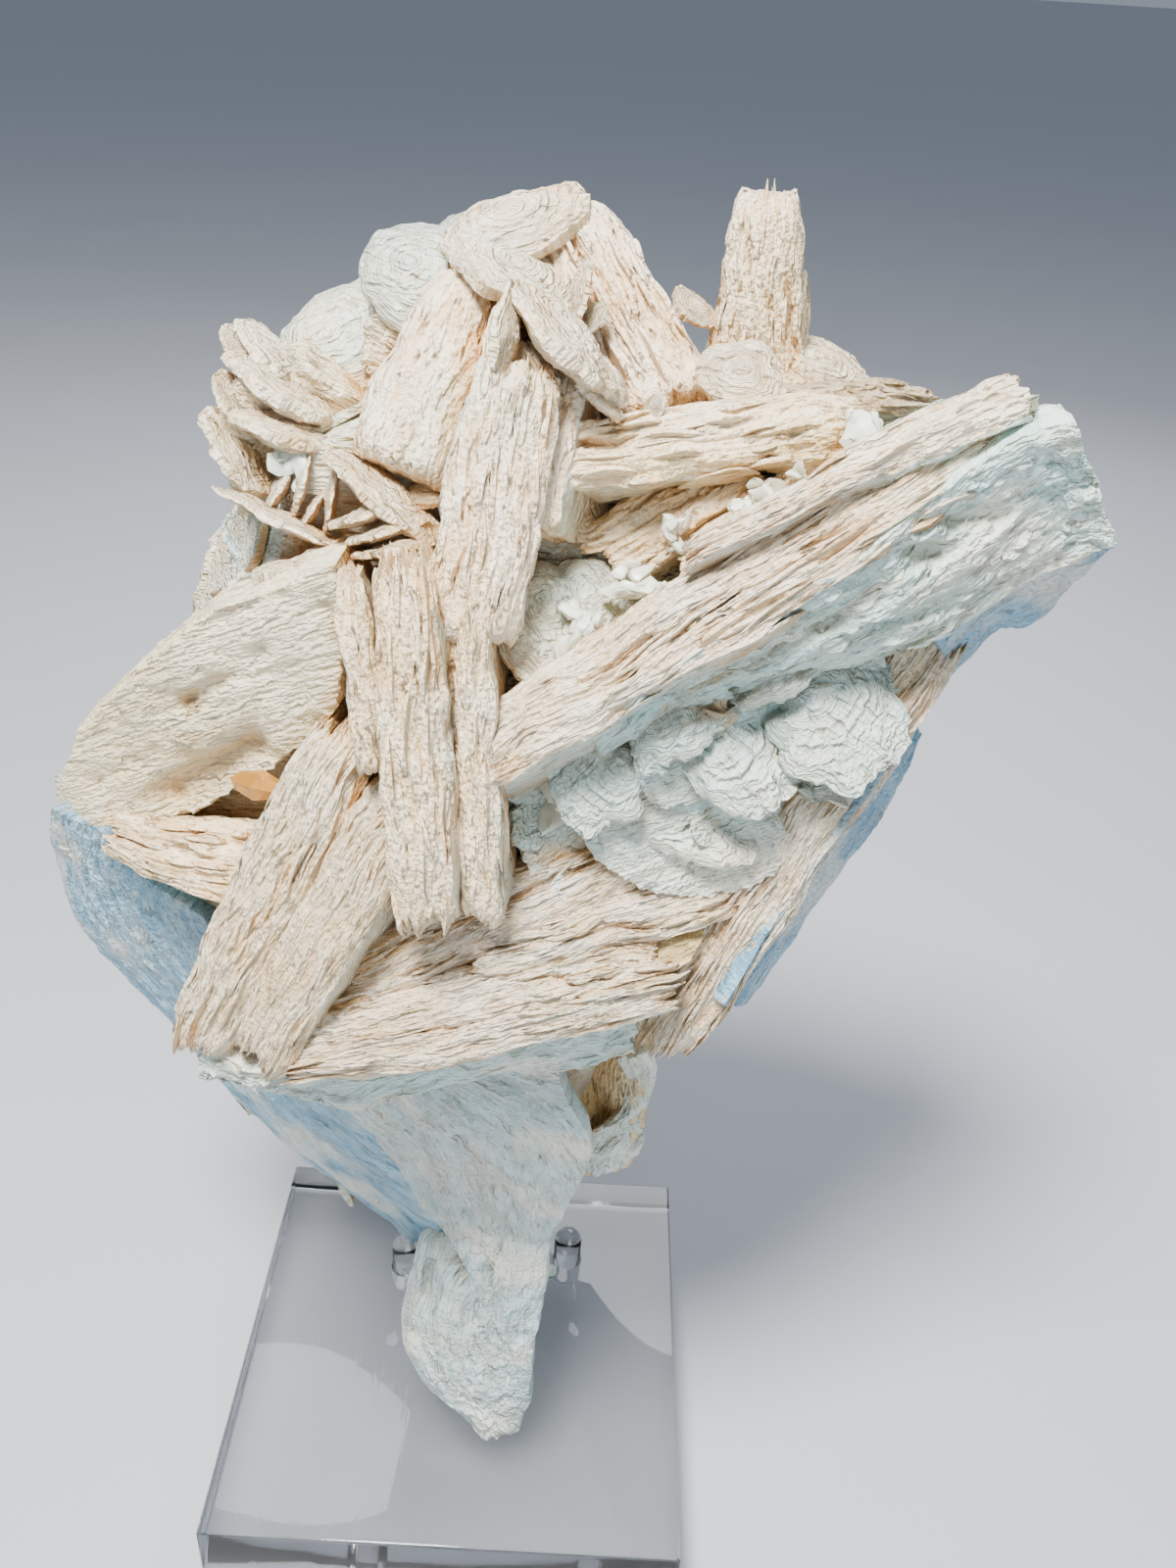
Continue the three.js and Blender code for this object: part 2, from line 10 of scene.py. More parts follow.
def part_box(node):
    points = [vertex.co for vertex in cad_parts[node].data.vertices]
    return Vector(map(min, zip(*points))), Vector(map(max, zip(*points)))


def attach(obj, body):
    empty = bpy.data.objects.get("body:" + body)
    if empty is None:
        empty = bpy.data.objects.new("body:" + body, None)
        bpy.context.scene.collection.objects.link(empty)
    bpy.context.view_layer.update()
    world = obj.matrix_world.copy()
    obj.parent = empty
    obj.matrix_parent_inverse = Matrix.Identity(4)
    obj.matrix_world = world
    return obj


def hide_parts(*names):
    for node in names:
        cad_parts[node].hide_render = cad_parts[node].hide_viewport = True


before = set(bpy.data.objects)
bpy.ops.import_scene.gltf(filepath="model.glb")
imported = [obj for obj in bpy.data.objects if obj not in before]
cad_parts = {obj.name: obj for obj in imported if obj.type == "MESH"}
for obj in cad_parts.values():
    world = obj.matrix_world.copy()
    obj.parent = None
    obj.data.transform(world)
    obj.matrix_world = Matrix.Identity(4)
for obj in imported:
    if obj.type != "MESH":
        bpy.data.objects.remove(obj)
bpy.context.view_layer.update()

# Bladed calcite cluster on a clear square block.
# The tables are in millimetres and the meshes in metres.
MM = 0.001

# Camera, solved from the four top corners of the clear block
EYE = (0.0197, -0.2106, 0.3046)
PITCH_DOWN = math.radians(31.31)
YAW_RIGHT = math.radians(0.48)
ROLL = math.radians(3.64)
TOWARD_CAMERA = (0, -math.cos(PITCH_DOWN), math.sin(PITCH_DOWN))
SENSOR = 36.0
LENS = 1391.8 / 1600 * SENSOR

# Clear block and pegs
BLOCK_SIDE = 101.6
BLOCK_HEIGHT = 19
BLOCK_EDGE_BREAK = 0.6
PEG_DIAMETER = 6.8
PEG_RISE = 10
PEG_DEPTH = 9
FIT_GAP = 0.3
PEGS = {"peg_rear_left": (-16.5, 20), "peg_rear_right": (24, 25)}
FOOT_LEVEL = BLOCK_HEIGHT + 0.1
# The floor lies a hair under the block, so that light passes between them.
FLOOR_LEVEL = -0.4
# The reach of the floor each way and the place that the lights look at, in metres
FLOOR_REACH = 30.0
LIGHT_AIM = (0.01, 0.0, 0.16)

# Edges sharper than these angles stay sharp in the shading.
STONE_EDGE_ANGLE = math.radians(38)
CLEAR_EDGE_ANGLE = math.radians(30)
# How fine the meshes are: the length of a stack's cells at the front and at the back, how many times finer
# they are across its plates, and the side of a sheet's cells
STACK_CELL = 0.78
BACK_STACK_CELL = 1.8
FINER_ACROSS = 2.6
SHEET_CELL = 0.68 * MM
# How far in front of and behind a dent's own depth it is still pressed in
DENT_REACH = 7 * MM
# The thickness of a layer of shards in a stack, and the length of stack for each shard in it
SHARD_LAYER = 1.5
SHARD_STEP = 11

# Bundles of plates seen on their edges: name, both ends of the front edge, the way inward, thickness across
# the plates and depth
STACKS = [
    # long bar across the front and the strand above it
    ("long_bar", (3, -46, 206), (70, -39, 257), (0.2, 0.8, -0.6), 12, 34),
    ("upper_strand", (31, -42, 237), (72, -40, 262), (0.1, 0.8, -0.6), 5, 26),
    ("right_back_edge", (66, -10, 204), (94, -8, 232), (-0.2, 0.9, -0.3), 9, 30),
    ("right_lower", (70, -30, 226), (34, -42, 152), (0.1, 0.9, -0.4), 13, 40),
    # bundles that cross the front low down
    ("bottom_front", (-25, -52, 156), (36, -46, 172), (0, 0.8, -0.6), 14, 44),
    ("bottom_middle", (5, -46, 171), (44, -38, 182), (0, 0.9, -0.5), 9, 34),
    ("bottom_top", (-17, -46, 164), (29, -38, 188), (0, 0.9, -0.5), 10, 34),
    # left pair
    ("left_diagonal_outer", (-39, -51, 153), (-14, -42, 207), (0, 0.9, -0.5), 12, 40),
    ("left_diagonal_inner", (-30, -53, 152), (-5, -47, 202), (0.1, 0.8, -0.6), 11, 38),
    # upright bundle in the middle
    ("upright_left", (-12, -44, 232), (-9, -48, 205), (-0.1, 0.8, -0.5), 5, 30),
    ("upright_middle", (-5, -47, 235), (-1, -54, 182), (0, 0.9, -0.5), 9, 34),
    ("upright_back", (1, -41, 230), (2, -46, 188), (0, 0.9, -0.5), 7, 26),
    ("upright_right", (4, -44, 229), (7, -50, 181), (0.1, 0.9, -0.5), 6, 30),
    ("upper_upright", (9, -32, 259), (4, -44, 224), (-0.1, 0.8, -0.5), 13, 30),
    ("upper_spike", (6, -22, 265), (5, -34, 250), (0, 0.9, -0.5), 6, 22),
    ("side_spike", (15, -24, 257), (12, -34, 237), (0.2, 0.8, -0.5), 5, 18),
    ("left_fan", (-28, -36, 178), (-56, -30, 181), (0, 0.9, -0.5), 12, 24),
    # blade behind the flap
    ("flap", (35, -26, 134), (34, -18, 98), (-0.6, 0.7, -0.3), 3, 16),
    # top group
    ("top_diagonal", (13, -5, 275), (30, -21, 252), (-0.1, 0.8, -0.5), 13, 34),
    ("slanting_bundle", (2, -15, 267), (-8, -29, 243), (-0.1, 0.8, -0.5), 14, 26),
    ("lone_column", (42, 0, 277), (42, -3, 246), (0.1, 1, 0.1), 13, 12),
    ("level_bundle", (14, -30, 247), (57, -22, 252), (0, 0.9, -0.5), 9, 28),
    ("far_level_bundle", (37, -12, 251), (69, -10, 252), (0, 0.9, -0.5), 5, 20),
    ("slanting_pair", (17, -25, 232), (39, -22, 245), (0, 0.9, -0.5), 5, 22),
    ("slanting_low", (22, -27, 230), (42, -24, 242), (0, 0.9, -0.5), 5, 22),
    ("slanting_third", (27, -28, 230), (51, -23, 246), (0, 0.9, -0.5), 3, 20),
    ("slanting_near", (32, -32, 232), (56, -29, 246), (0, 0.9, -0.5), 3, 16),
    ("deep_slant", (29, -16, 227), (54, -12, 242), (0, 0.9, -0.5), 7, 20),
    # back, which repeats the habit of the front
    ("back_bar", (-52, 40, 148), (24, 46, 212), (0, -1, 0), 13, 22),
    ("back_cross", (-34, 42, 212), (16, 45, 166), (0, -1, 0), 11, 22),
    ("back_right", (70, 34, 208), (30, 43, 130), (0, -1, 0), 13, 26),
    ("back_level", (20, 44, 196), (74, 36, 204), (0, -1, 0), 10, 22),
    ("back_top", (-18, 36, 240), (50, 34, 230), (0, -1, 0), 12, 24),
    ("back_crest", (8, 22, 268), (-8, 38, 222), (0, -1, 0), 11, 22),
    ("back_low", (-42, 36, 136), (8, 34, 84), (0, -1, 0), 12, 24),
    ("back_foot", (26, 40, 128), (8, 22, 62), (0, -1, 0), 11, 24),
]
# Broad plates: name, a place on the face, its lean outward for each step right and up, thickness, and the
# outline as right and up
FACES = [
    ("left_face", (-38, -32, 206), (-0.12, -0.1), 9, [
        (-63, 186), (-58, 198), (-47, 210), (-34, 222), (-15, 232), (-14, 222), (-16, 208),
        (-27, 195), (-41, 184), (-59, 179)]),
    ("petal_bed", (44, -36, 207), (0.15, 0.1), 14, [
        (15, 204), (28, 212), (43, 221), (52, 225), (62, 222), (68, 210), (65, 199), (55, 189),
        (45, 181), (32, 182), (23, 188), (17, 197)]),
    ("heel", (4, 4, 40), (0, -0.05), 17, [
        (-8, 66), (-12, 44), (-9, 28), (-4, 19.4), (11, 19.4), (16, 30), (19, 46), (19, 66)]),
    ("flap_root", (27, -14, 118), (0, 0.2), 6, [
        (16, 132), (37, 132), (36, 106), (33, 98), (26, 96), (16, 100)]),
    ("dome_bed", (17, -24, 222), (0, 0.3), 8, [
        (5, 223), (8, 229), (14, 232), (20, 232), (25, 227), (27, 220), (20, 215), (14, 209),
        (5, 206)]),
    ("recess_bed", (26, -10, 238), (0.1, 0.3), 6, [
        (10, 226), (8, 248), (30, 254), (50, 252), (52, 238), (34, 226)]),
    ("nook_bed", (22, -33, 198), (0.1, 0.3), 6, [
        (9, 206), (10, 188), (16, 180), (28, 182), (32, 196), (26, 206)]),
    ("corner_bed", (-24, -14, 240), (0.2, -0.3), 9, [
        (-35, 228), (-35, 243), (-30, 252), (-22, 252), (-13, 246), (-9, 238), (-13, 230), (-24, 226)]),
    ("top_bed", (8, -5, 262), (0.1, 0.3), 9, [
        (-12, 255), (-8, 264), (0, 269), (10, 271), (19, 270), (26, 265), (30, 256), (20, 246), (2, 244)]),
]
# Curved surfaces that run with the fibres: name, thickness, and rows of two edge points from end to end
SHEETS = [
    ("left_skin", 7, [
        ((-77, 0, 165), (-64, -14, 171)), ((-80, 4, 152), (-53, -21, 165)), ((-78, 4, 136), (-42, -25, 160)),
        ((-71, 4, 123), (-34, -28, 153)), ((-62, 4, 110), (-26, -30, 143)), ((-52, 3, 94), (-19, -28, 126)),
        ((-38, 2, 77), (-12, -24, 110)), ((-25, 2, 64), (-7, -17, 91)), ((-12, 1, 52), (-4, -10, 66))]),
    ("leg_sheet", 12, [
        ((-37, -27, 136), (19, -38, 144)), ((-24, -27, 124), (21, -36, 134)),
        ((-16, -24, 111), (26, -31, 117)), ((-10, -17, 90), (23, -26, 97)), ((-7, -11, 70), (19, -21, 80))]),
    ("flap_rim", 3, [
        ((30, -26, 135), (36, -27, 138)), ((32, -24, 126), (37, -25, 127)), ((31, -22, 118), (35, -23, 117)),
        ((27, -20, 110), (36, -22, 110)), ((24, -18, 103), (34, -20, 103)), ((24, -17, 96), (30, -18, 97))]),
    ("leg", 14, [
        ((-6, -7, 82), (18, -16, 92)), ((-8, -10, 72), (19, -20, 82)), ((-10, -14, 61), (19, -21, 69)),
        ((-12, -17, 48), (18, -22, 58)), ((-10, -19, 37), (17, -23, 48)), ((-6, -21, 30), (17, -24, 39)),
        ((-1, -22, 26), (17, -24, 31)), ((5, -23, 20), (15, -25, 22))]),
    ("pale_lip", 16, [
        ((-39, -48, 152), (-38, -45, 145)), ((-31, -50, 151), (-31, -46, 142)),
        ((-22, -50, 152), (-24, -45, 139)), ((-12, -50, 154), (-15, -44, 137)),
        ((-1, -49, 160), (-2, -43, 141)), ((10, -48, 161), (10, -42, 145)),
        ((20, -47, 162), (21, -41, 146)), ((30, -45, 165), (32, -39, 149))]),
    ("right_face", 12, [
        ((21, -46, 214), (22, -40, 206)), ((31, -46, 223), (34, -38, 212)), ((41, -45, 230), (47, -37, 218)),
        ((51, -44, 237), (59, -37, 222)), ((59, -43, 244), (71, -37, 228)), ((66, -42, 251), (78, -36, 234)),
        ((73, -42, 257), (85, -36, 238)), ((79, -41, 258), (90, -36, 241))]),
    ("right_flank", 5, [
        ((68, -36, 226), (75, -24, 214)), ((73, -36, 233), (81, -22, 221)),
        ((77, -36, 236), (86, -20, 221)), ((81, -36, 237), (89, -22, 227)),
        ((84, -36, 240), (90, -24, 230)), ((88, -36, 242), (91, -32, 239))]),
    ("lower_flank", 5, [
        ((68, -33, 212), (72, -26, 205)), ((65, -35, 204), (71, -26, 198)),
        ((60, -37, 193), (68, -25, 187)), ((55, -38, 183), (62, -24, 173)),
        ((50, -40, 174), (56, -24, 158)), ((45, -43, 163), (50, -27, 150))]),
]
# Blades with round rims: name, middle, half length, half width, thickness, and in degrees the slope of the
# length as the camera sees it and how far the blade is turned from facing it towards its edge
TABLETS = [
    ("disc_left", (-18, -2, 254), 11, 9.5, 6, 30, 20),
    ("disc_upper", (-6, -5, 263), 10.5, 9, 6, -20, 15),
    ("disc_far", (-3, 4, 269), 3.5, 3, 2.5, 30, 35),
    ("crown", (6, -6, 271), 11.5, 7.5, 7, 24, 35),
    ("arch", (7, -13, 266), 10, 8, 5, -28, 45),
    ("arch_end", (12, -15, 261), 5, 4, 4, -40, 40),
    ("chevron_right", (14, -26, 261), 10, 7, 6, -45, 68),
    ("gap_blade", (11, -26, 256), 5, 4, 3, -60, 40),
    ("chevron_left", (7, -28, 262), 6.5, 4, 3.5, -97, 75),
    ("chevron_tip", (20, -24, 256), 5, 4, 3.5, -55, 65),
    ("chevron_under", (19, -26, 254), 5, 4, 3, -45, 70),
    ("small_blade", (16, -18, 265), 5, 3, 2.5, 82, 70),
    ("small_blade_foot", (18, -18, 262), 2.8, 2, 2, 60, 40),
    ("small_oval", (27, -24, 252), 2, 1.6, 1.5, 90, 40),
    ("small_lump", (39, -17, 255), 6.5, 5.5, 4.5, -10, 20),
    ("far_petal", (53, 2, 252), 8.5, 6, 5, -20, 35),
    ("far_lump", (33, 2, 260), 4, 3, 3, -40, 40),
    ("fan_a", (-27, -12, 252), 8.5, 6, 5, -40, 70),
    ("fan_b", (-26, -16, 249), 9.5, 6, 5.5, -30, 72),
    ("fan_c", (-33, -15, 247), 4.5, 3.5, 3.5, -55, 55),
    ("fan_d", (-20, -8, 248), 8, 5.5, 5.5, -52, 60),
    ("fan_e", (-33, -9, 253), 4, 3, 3, -50, 50),
    ("fan_f", (-25, -18, 244), 8.5, 6, 5.5, -15, 68),
    ("fan_g", (-33, -16, 239), 7.5, 5, 5, -55, 60),
    ("spear", (-25, -25, 233), 11, 4, 2.6, -22, 80),
    ("edge_pale", (-33, -8, 221), 7.5, 5.5, 4, -52, 55),
    ("cross_a", (-10, -26, 238), 10.5, 7, 4.5, -38, 68),
    ("cross_b", (-14, -25, 240), 5.5, 3.5, 3, -35, 75),
    ("comb_a", (-12, -29, 236), 5.5, 4, 2.8, 25, 75),
    ("comb_b", (-9, -30, 234), 6, 4, 2.8, 22, 75),
    ("comb_c", (-8, -31, 232), 6, 4, 2.8, 18, 75),
    ("ledge", (-20, -28, 228), 9, 5, 4, 18, 72),
    ("knob", (-4, -24, 238), 3, 3, 3, 0, 40),
    ("tuft_a", (-25, -20, 241), 3, 2.5, 2.5, 80, 45),
    ("tuft_b", (-26, -22, 236), 4.8, 3, 2.2, 62, 75),
    ("tuft_c", (-22, -23, 238), 4.8, 3, 2, 80, 75),
    ("tuft_d", (-18, -24, 236), 4.8, 3, 2, 85, 75),
    ("tuft_e", (-21, -24, 234), 4, 2.5, 2, 60, 75),
    ("petal_1", (57, -36, 212), 11, 10, 4, -35, 5),
    ("petal_2", (43, -38, 206), 10, 9, 5, -40, 8),
    ("petal_3", (38, -36, 193), 10.5, 7.5, 5, -20, 10),
    ("petal_4", (33, -38, 212), 8, 6.5, 4, 30, 8),
    ("petal_5", (31, -41, 207), 3.2, 2.8, 3, -110, 5),
    ("petal_6", (23, -40, 201), 7.5, 7, 5, -130, 5),
    ("petal_7", (29, -36, 190), 6, 5, 4, -70, 15),
    ("petal_8", (55, -35, 202), 6, 4.5, 3, -25, 15),
    ("petal_9", (58, -35, 204), 4.5, 3.5, 2.5, -50, 20),
    ("petal_10", (46, -36, 220), 8, 5.5, 3.5, 30, 10),
    ("dome_a", (15, -31, 221), 10, 9, 6, -60, 20),
    ("dome_b", (21, -28, 224), 8, 7, 4, -40, 22),
    ("dome_c", (24, -31, 220), 5.5, 4.5, 3, -20, 30),
    ("dome_d", (20, -33, 217), 6.5, 5, 3, 10, 22),
    ("recess_disc", (17, -20, 237), 7, 5.5, 3, -60, 30),
    ("foot_blade", (35, -39, 172), 6, 5, 3, 30, 30),
]
# Groups of small round crystals: middle, the way they face and radius
DISCS = [
    ((31, -29, 236), (0.3, -0.8, 0.5), 4),
    ((36, -31, 234), (-0.4, -0.8, 0.4), 4),
    ((44, -25, 240), (0.5, -0.7, 0.5), 5),
    ((25, -29, 228), (-0.2, -0.7, 0.7), 5),
    ((20, -33, 222), (0.1, -0.8, 0.6), 6),
    ((26, -35, 217), (0.4, -0.8, 0.4), 5),
    ((55, -25, 251), (0.7, -0.6, 0.3), 5),
    ((-32, -20, 219), (-0.3, -0.8, 0.5), 5),
    ((-24, -22, 240), (0.2, -0.8, 0.6), 4),
    ((14, -35, 196), (0.2, -0.9, 0.3), 7),
    ((-20, -30, 200), (0.3, -0.9, 0.2), 7),
    ((43, -27, 242), (0.2, -0.8, 0.5), 3),
    ((48, -26, 244), (-0.3, -0.7, 0.6), 2.5),
    ((36, -33, 232), (0.1, -0.8, 0.6), 3.5),
    ((29, -35, 229), (-0.2, -0.8, 0.6), 3),
    ((40, -30, 240), (0.3, -0.6, 0.7), 2.5),
    ((20, -36, 224), (0, -0.9, 0.4), 3),
    ((15, -36, 219), (-0.2, -0.9, 0.4), 3.5),
]
# Fissures and small hollows: the piece, both ends, half width and depth
DENTS = [
    ("leg_plates", (-9, -11, 74), (1, -15, 62), 1.6, 5),
    ("leg_plates", (-1, -18, 91), (6, -18, 78), 1.2, 2.5),
    ("leg_plates", (2, -28, 115), (8, -25, 99), 1.6, 1.2),
    ("leg_plates", (0, -15, 66), (4, -19, 52), 0.9, 2.5),
    ("leg_plates", (-6, -14, 63), (-7, -17, 55), 0.9, 3),
    ("leg_plates", (7, -19, 68), (9, -20, 58), 0.9, 1.5),
    ("leg_plates", (-9, -18, 45), (-3, -21, 34), 0.9, 1.2),
    ("leg_plates", (13, -25, 108), (17, -24, 92), 1.2, 1.2),
    ("front_bars", (62, -41, 243), (72, -40, 245), 0.9, 1.5),
    ("front_bars", (61, -41, 239), (65, -41, 240), 1.3, 2),
    ("front_bars", (50, -42, 228), (58, -40, 233), 0.8, 1),
    ("petals", (39, -38, 215), (42, -38, 218), 1.5, 3),
    ("petals", (52, -38, 199), (54, -38, 196), 2, 3),
    ("petals", (30, -38, 198), (34, -38, 200), 1.2, 2),
    ("left_bundles", (-44, -33, 190), (-30, -33, 199), 2.5, 2.5),
    ("left_bundles", (-56, -31, 190), (-46, -32, 197), 1, 1.2),
    ("left_bundles", (-40, -31, 205), (-27, -31, 214), 1, 1.2),
]
# The massive part behind the bundles: outlines as right and up, at three places from front to back
CORE = [
    (-22, [
        (-46, 188), (-49, 174), (-38, 153), (-24, 134), (-9, 117), (4, 104), (18, 110), (24, 129),
        (35, 152), (50, 175), (60, 198), (65, 217), (74, 231), (60, 224), (46, 222), (28, 218),
        (12, 244), (-2, 252), (-22, 242), (-33, 207)]),
    (6, [
        (-78, 164), (-78, 145), (-67, 122), (-49, 92), (-27, 66), (-5, 47), (20, 58), (26, 83),
        (41, 115), (61, 148), (76, 180), (80, 205), (94, 228), (76, 237), (55, 245), (33, 246),
        (10, 269), (-9, 260), (-35, 238), (-52, 191)]),
    (32, [
        (-56, 156), (-56, 138), (-44, 116), (-30, 97), (-15, 82), (0, 76), (14, 78), (22, 92),
        (32, 112), (46, 136), (58, 160), (64, 184), (74, 206), (64, 218), (48, 228), (31, 230),
        (10, 248), (-8, 242), (-26, 222), (-40, 188)]),
]


def math_method(operation, turned=False):
    """A method that adds a Math node on its values, with the last one first where it is turned."""
    def method(*values):
        return values[0].net.math(operation, *(values[::-1] if turned else values))
    return method


class Socket:
    """One output of a node. Arithmetic on it adds Math nodes to its tree."""

    def __init__(self, net, end):
        self.net = net
        self.end = end

    __add__ = __radd__ = math_method("ADD")
    __mul__ = __rmul__ = math_method("MULTIPLY")
    __sub__, __rsub__ = math_method("SUBTRACT"), math_method("SUBTRACT", turned=True)
    __truediv__, __pow__ = math_method("DIVIDE"), math_method("POWER")
    __lt__, __gt__ = math_method("LESS_THAN"), math_method("GREATER_THAN")
    at_least, at_most = math_method("MAXIMUM"), math_method("MINIMUM")
    floor, abs, arctan2 = math_method("FLOOR"), math_method("ABSOLUTE"), math_method("ARCTAN2")

    def rise(self, low, high):
        """0 below low, 1 above high, smooth between them."""
        share = ((self - low) / (high - low)).at_least(0.0).at_most(1.0)
        return share * share * (3.0 - 2.0 * share)

    def terraced(self, steps, edge):
        """The same value cut into level steps with short risers."""
        lifted = self * steps
        level = lifted.floor()
        return (level + (lifted - level).rise(0.0, edge)) / steps


class Net:
    """A tree of nodes under construction."""

    def __init__(self, tree):
        self.tree = tree
        self.seed = None

    def node(self, kind, settings=None, inputs=None):
        """Adds a node and returns its outputs. Settings come first, then values and links."""
        made = self.tree.nodes.new(kind)
        for name, value in (settings or {}).items():
            setattr(made, name, value)
        for key, value in (inputs or {}).items():
            if isinstance(value, Socket):
                self.tree.links.new(value.end, made.inputs[key])
            elif isinstance(value, list):
                for item in value:
                    self.tree.links.new(item.end, made.inputs[key])
            else:
                made.inputs[key].default_value = value
        return Outputs(self, made)

    def math(self, operation, *values):
        return self.node("ShaderNodeMath", {"operation": operation}, dict(enumerate(values)))[0]

    def join(self, x, y, z):
        return self.node("ShaderNodeCombineXYZ", None, {0: x, 1: y, 2: z})[0]

    def split(self, vector):
        parts = self.node("ShaderNodeSeparateXYZ", None, {0: vector})
        return parts[0], parts[1], parts[2]

    def vector(self, operation, *items):
        return self.node("ShaderNodeVectorMath", {"operation": operation}, dict(enumerate(items)))[0]

    def scaled(self, vector, number):
        return self.node("ShaderNodeVectorMath", {"operation": "SCALE"}, {0: vector, "Scale": number})[0]

    def noise(self, place, scale, detail=3.0, roughness=0.5):
        inputs = {"Vector": place, "Scale": scale, "Detail": detail, "Roughness": roughness}
        return self.node("ShaderNodeTexNoise", None, inputs)[0]

    def grain(self, x, y, z, detail, roughness=0.5):
        """Noise at a place that is already scaled, by its three parts."""
        return self.noise(self.join(x, y, z), 1.0, detail, roughness)

    def warp(self, place, scale, reach, detail=2.0):
        """A small random vector that changes smoothly with place."""
        inputs = {"Vector": place, "Scale": scale, "Detail": detail, "Roughness": 0.55}
        colour = self.node("ShaderNodeTexNoise", None, inputs)[1]
        return self.scaled(self.vector("SUBTRACT", colour, (0.5, 0.5, 0.5)), reach)

    def scales(self, place, scale):
        """Tilted scales that overlap each other, whose layers end in arcs: about 0 to 1."""
        cell = self.node("ShaderNodeTexVoronoi", None, {"Vector": place, "Scale": scale})
        tilt = self.vector("SUBTRACT", cell["Color"], (0.5, 0.5, 0.5))
        offset = self.vector("SUBTRACT", place, cell["Position"])
        slope = self.node("ShaderNodeVectorMath", {"operation": "DOT_PRODUCT"}, {0: offset, 1: tilt})["Value"]
        arcs = (cell["Distance"] + 1.2 * slope * scale).terraced(6.0, 0.3)
        return 0.75 + 0.9 * slope * scale - 0.45 * arcs

    def blend(self, share, one, other):
        """A colour that goes from one to the other. The keys are the share and the two colours."""
        settings = {"data_type": "RGBA", "clamp_factor": True}
        return self.node("ShaderNodeMix", settings, {0: share, 6: one, 7: other})[2]

    def random(self, low, high, salt):
        """A random number for each element. The keys are the lowest, the highest and the seed."""
        inputs = {2: low, 3: high, 8: self.seed + salt}
        return self.node("FunctionNodeRandomValue", {"data_type": "FLOAT"}, inputs)[1]

    def position(self):
        return self.node("GeometryNodeInputPosition")[0]

    def normal(self):
        return self.node("GeometryNodeInputNormal")[0]

    def keep(self, shape, name, value, kind="FLOAT", domain="POINT"):
        """The geometry with a named attribute added."""
        settings = {"data_type": kind, "domain": domain}
        inputs = {"Geometry": shape, "Name": name, "Value": value}
        return self.node("GeometryNodeStoreNamedAttribute", settings, inputs)[0]

    def read(self, name, kind="FLOAT"):
        return self.node("GeometryNodeInputNamedAttribute", {"data_type": kind}, {"Name": name})[0]

    def place(self, shape, position):
        return self.node("GeometryNodeSetPosition", None, {"Geometry": shape, "Position": position})[0]

    def shift(self, shape, offset):
        return self.node("GeometryNodeSetPosition", None, {"Geometry": shape, "Offset": offset})[0]

    def points(self, count):
        return self.node("GeometryNodeMeshLine", {"mode": "OFFSET"}, {"Count": count})[0]

    def copies(self, points, shape, rotation, scale):
        """Real copies of a shape on points, each with its own number in the attribute plate."""
        inputs = {"Points": points, "Instance": shape, "Rotation": rotation, "Scale": scale}
        placed = self.node("GeometryNodeInstanceOnPoints", None, inputs)[0]
        placed = self.keep(placed, "plate", self.random(0.0, 1.0, 99), domain="INSTANCE")
        return self.node("GeometryNodeRealizeInstances", None, {"Geometry": placed})[0]

    def together(self, *shapes):
        return self.node("GeometryNodeJoinGeometry", None, {0: list(shapes)})[0]

    def block(self, columns, rows, layers):
        """A block 1 long, 1 deep and 1 thick, with its broad faces marked."""
        inputs = {"Size": (1.0, 1.0, 1.0), "Vertices X": columns, "Vertices Y": rows, "Vertices Z": layers}
        return self.mark_broad(self.node("GeometryNodeMeshCube", None, inputs)[0])

    def strewn(self, base, chosen, spacing):
        """Points spread over the chosen faces of a base, and a round flake 1 thick to lie on them."""
        disc = {"Vertices": 20, "Side Segments": 1, "Radius": 1.0, "Depth": 1.0}
        flake = self.node("GeometryNodeMeshCylinder", {"fill_type": "NGON"}, disc)["Mesh"]
        spread = {"Mesh": base, "Selection": chosen, "Distance Min": spacing, "Density Max": 300000.0,
                  "Seed": self.seed}
        dots = self.node("GeometryNodeDistributePointsOnFaces", {"distribute_method": "POISSON"}, spread)
        return dots, self.mark_broad(flake)

    def mark_broad(self, shape):
        """Marks the faces that look along local Z."""
        up = self.split(self.normal())[2].abs()
        return self.keep(shape, "broad", up.rise(0.45, 0.75), domain="FACE")

    def lay_fibres(self, shape, along=None):
        """Records where the fibres of the shader run: along its own position unless another is given."""
        return self.keep(shape, "lie", along or self.position(), "FLOAT_VECTOR")

    def finish(self, shape, material):
        coated = self.node("GeometryNodeSetMaterial", None, {"Geometry": shape, "Material": material})[0]
        self.node("NodeGroupOutput", None, {0: coated})


class Outputs:
    """The outputs of a node, by number or name."""

    def __init__(self, net, made):
        self.net = net
        self.made = made

    def __getitem__(self, key):
        return Socket(self.net, self.made.outputs[key])


def shape_tree(name, numbers, wholes="", vectors=""):
    """A Geometry Nodes tree with these named inputs, a seed and a material, and its input node."""
    tree = bpy.data.node_groups.new(name, "GeometryNodeTree")
    inputs = {"Geometry": "Shape", "Float": numbers, "Int": wholes + " Seed", "Vector": vectors,
              "Material": "Material"}
    for kind, labels in inputs.items():
        for label in labels.split():
            tree.interface.new_socket(label, in_out="INPUT", socket_type="NodeSocket" + kind)
    tree.interface.new_socket("Shape", in_out="OUTPUT", socket_type="NodeSocketGeometry")
    net = Net(tree)
    start = net.node("NodeGroupInput")
    net.seed = start["Seed"]
    return net, start


def thing_of(name, mesh):
    thing = bpy.data.objects.new(name, mesh)
    bpy.context.scene.collection.objects.link(thing)
    return thing


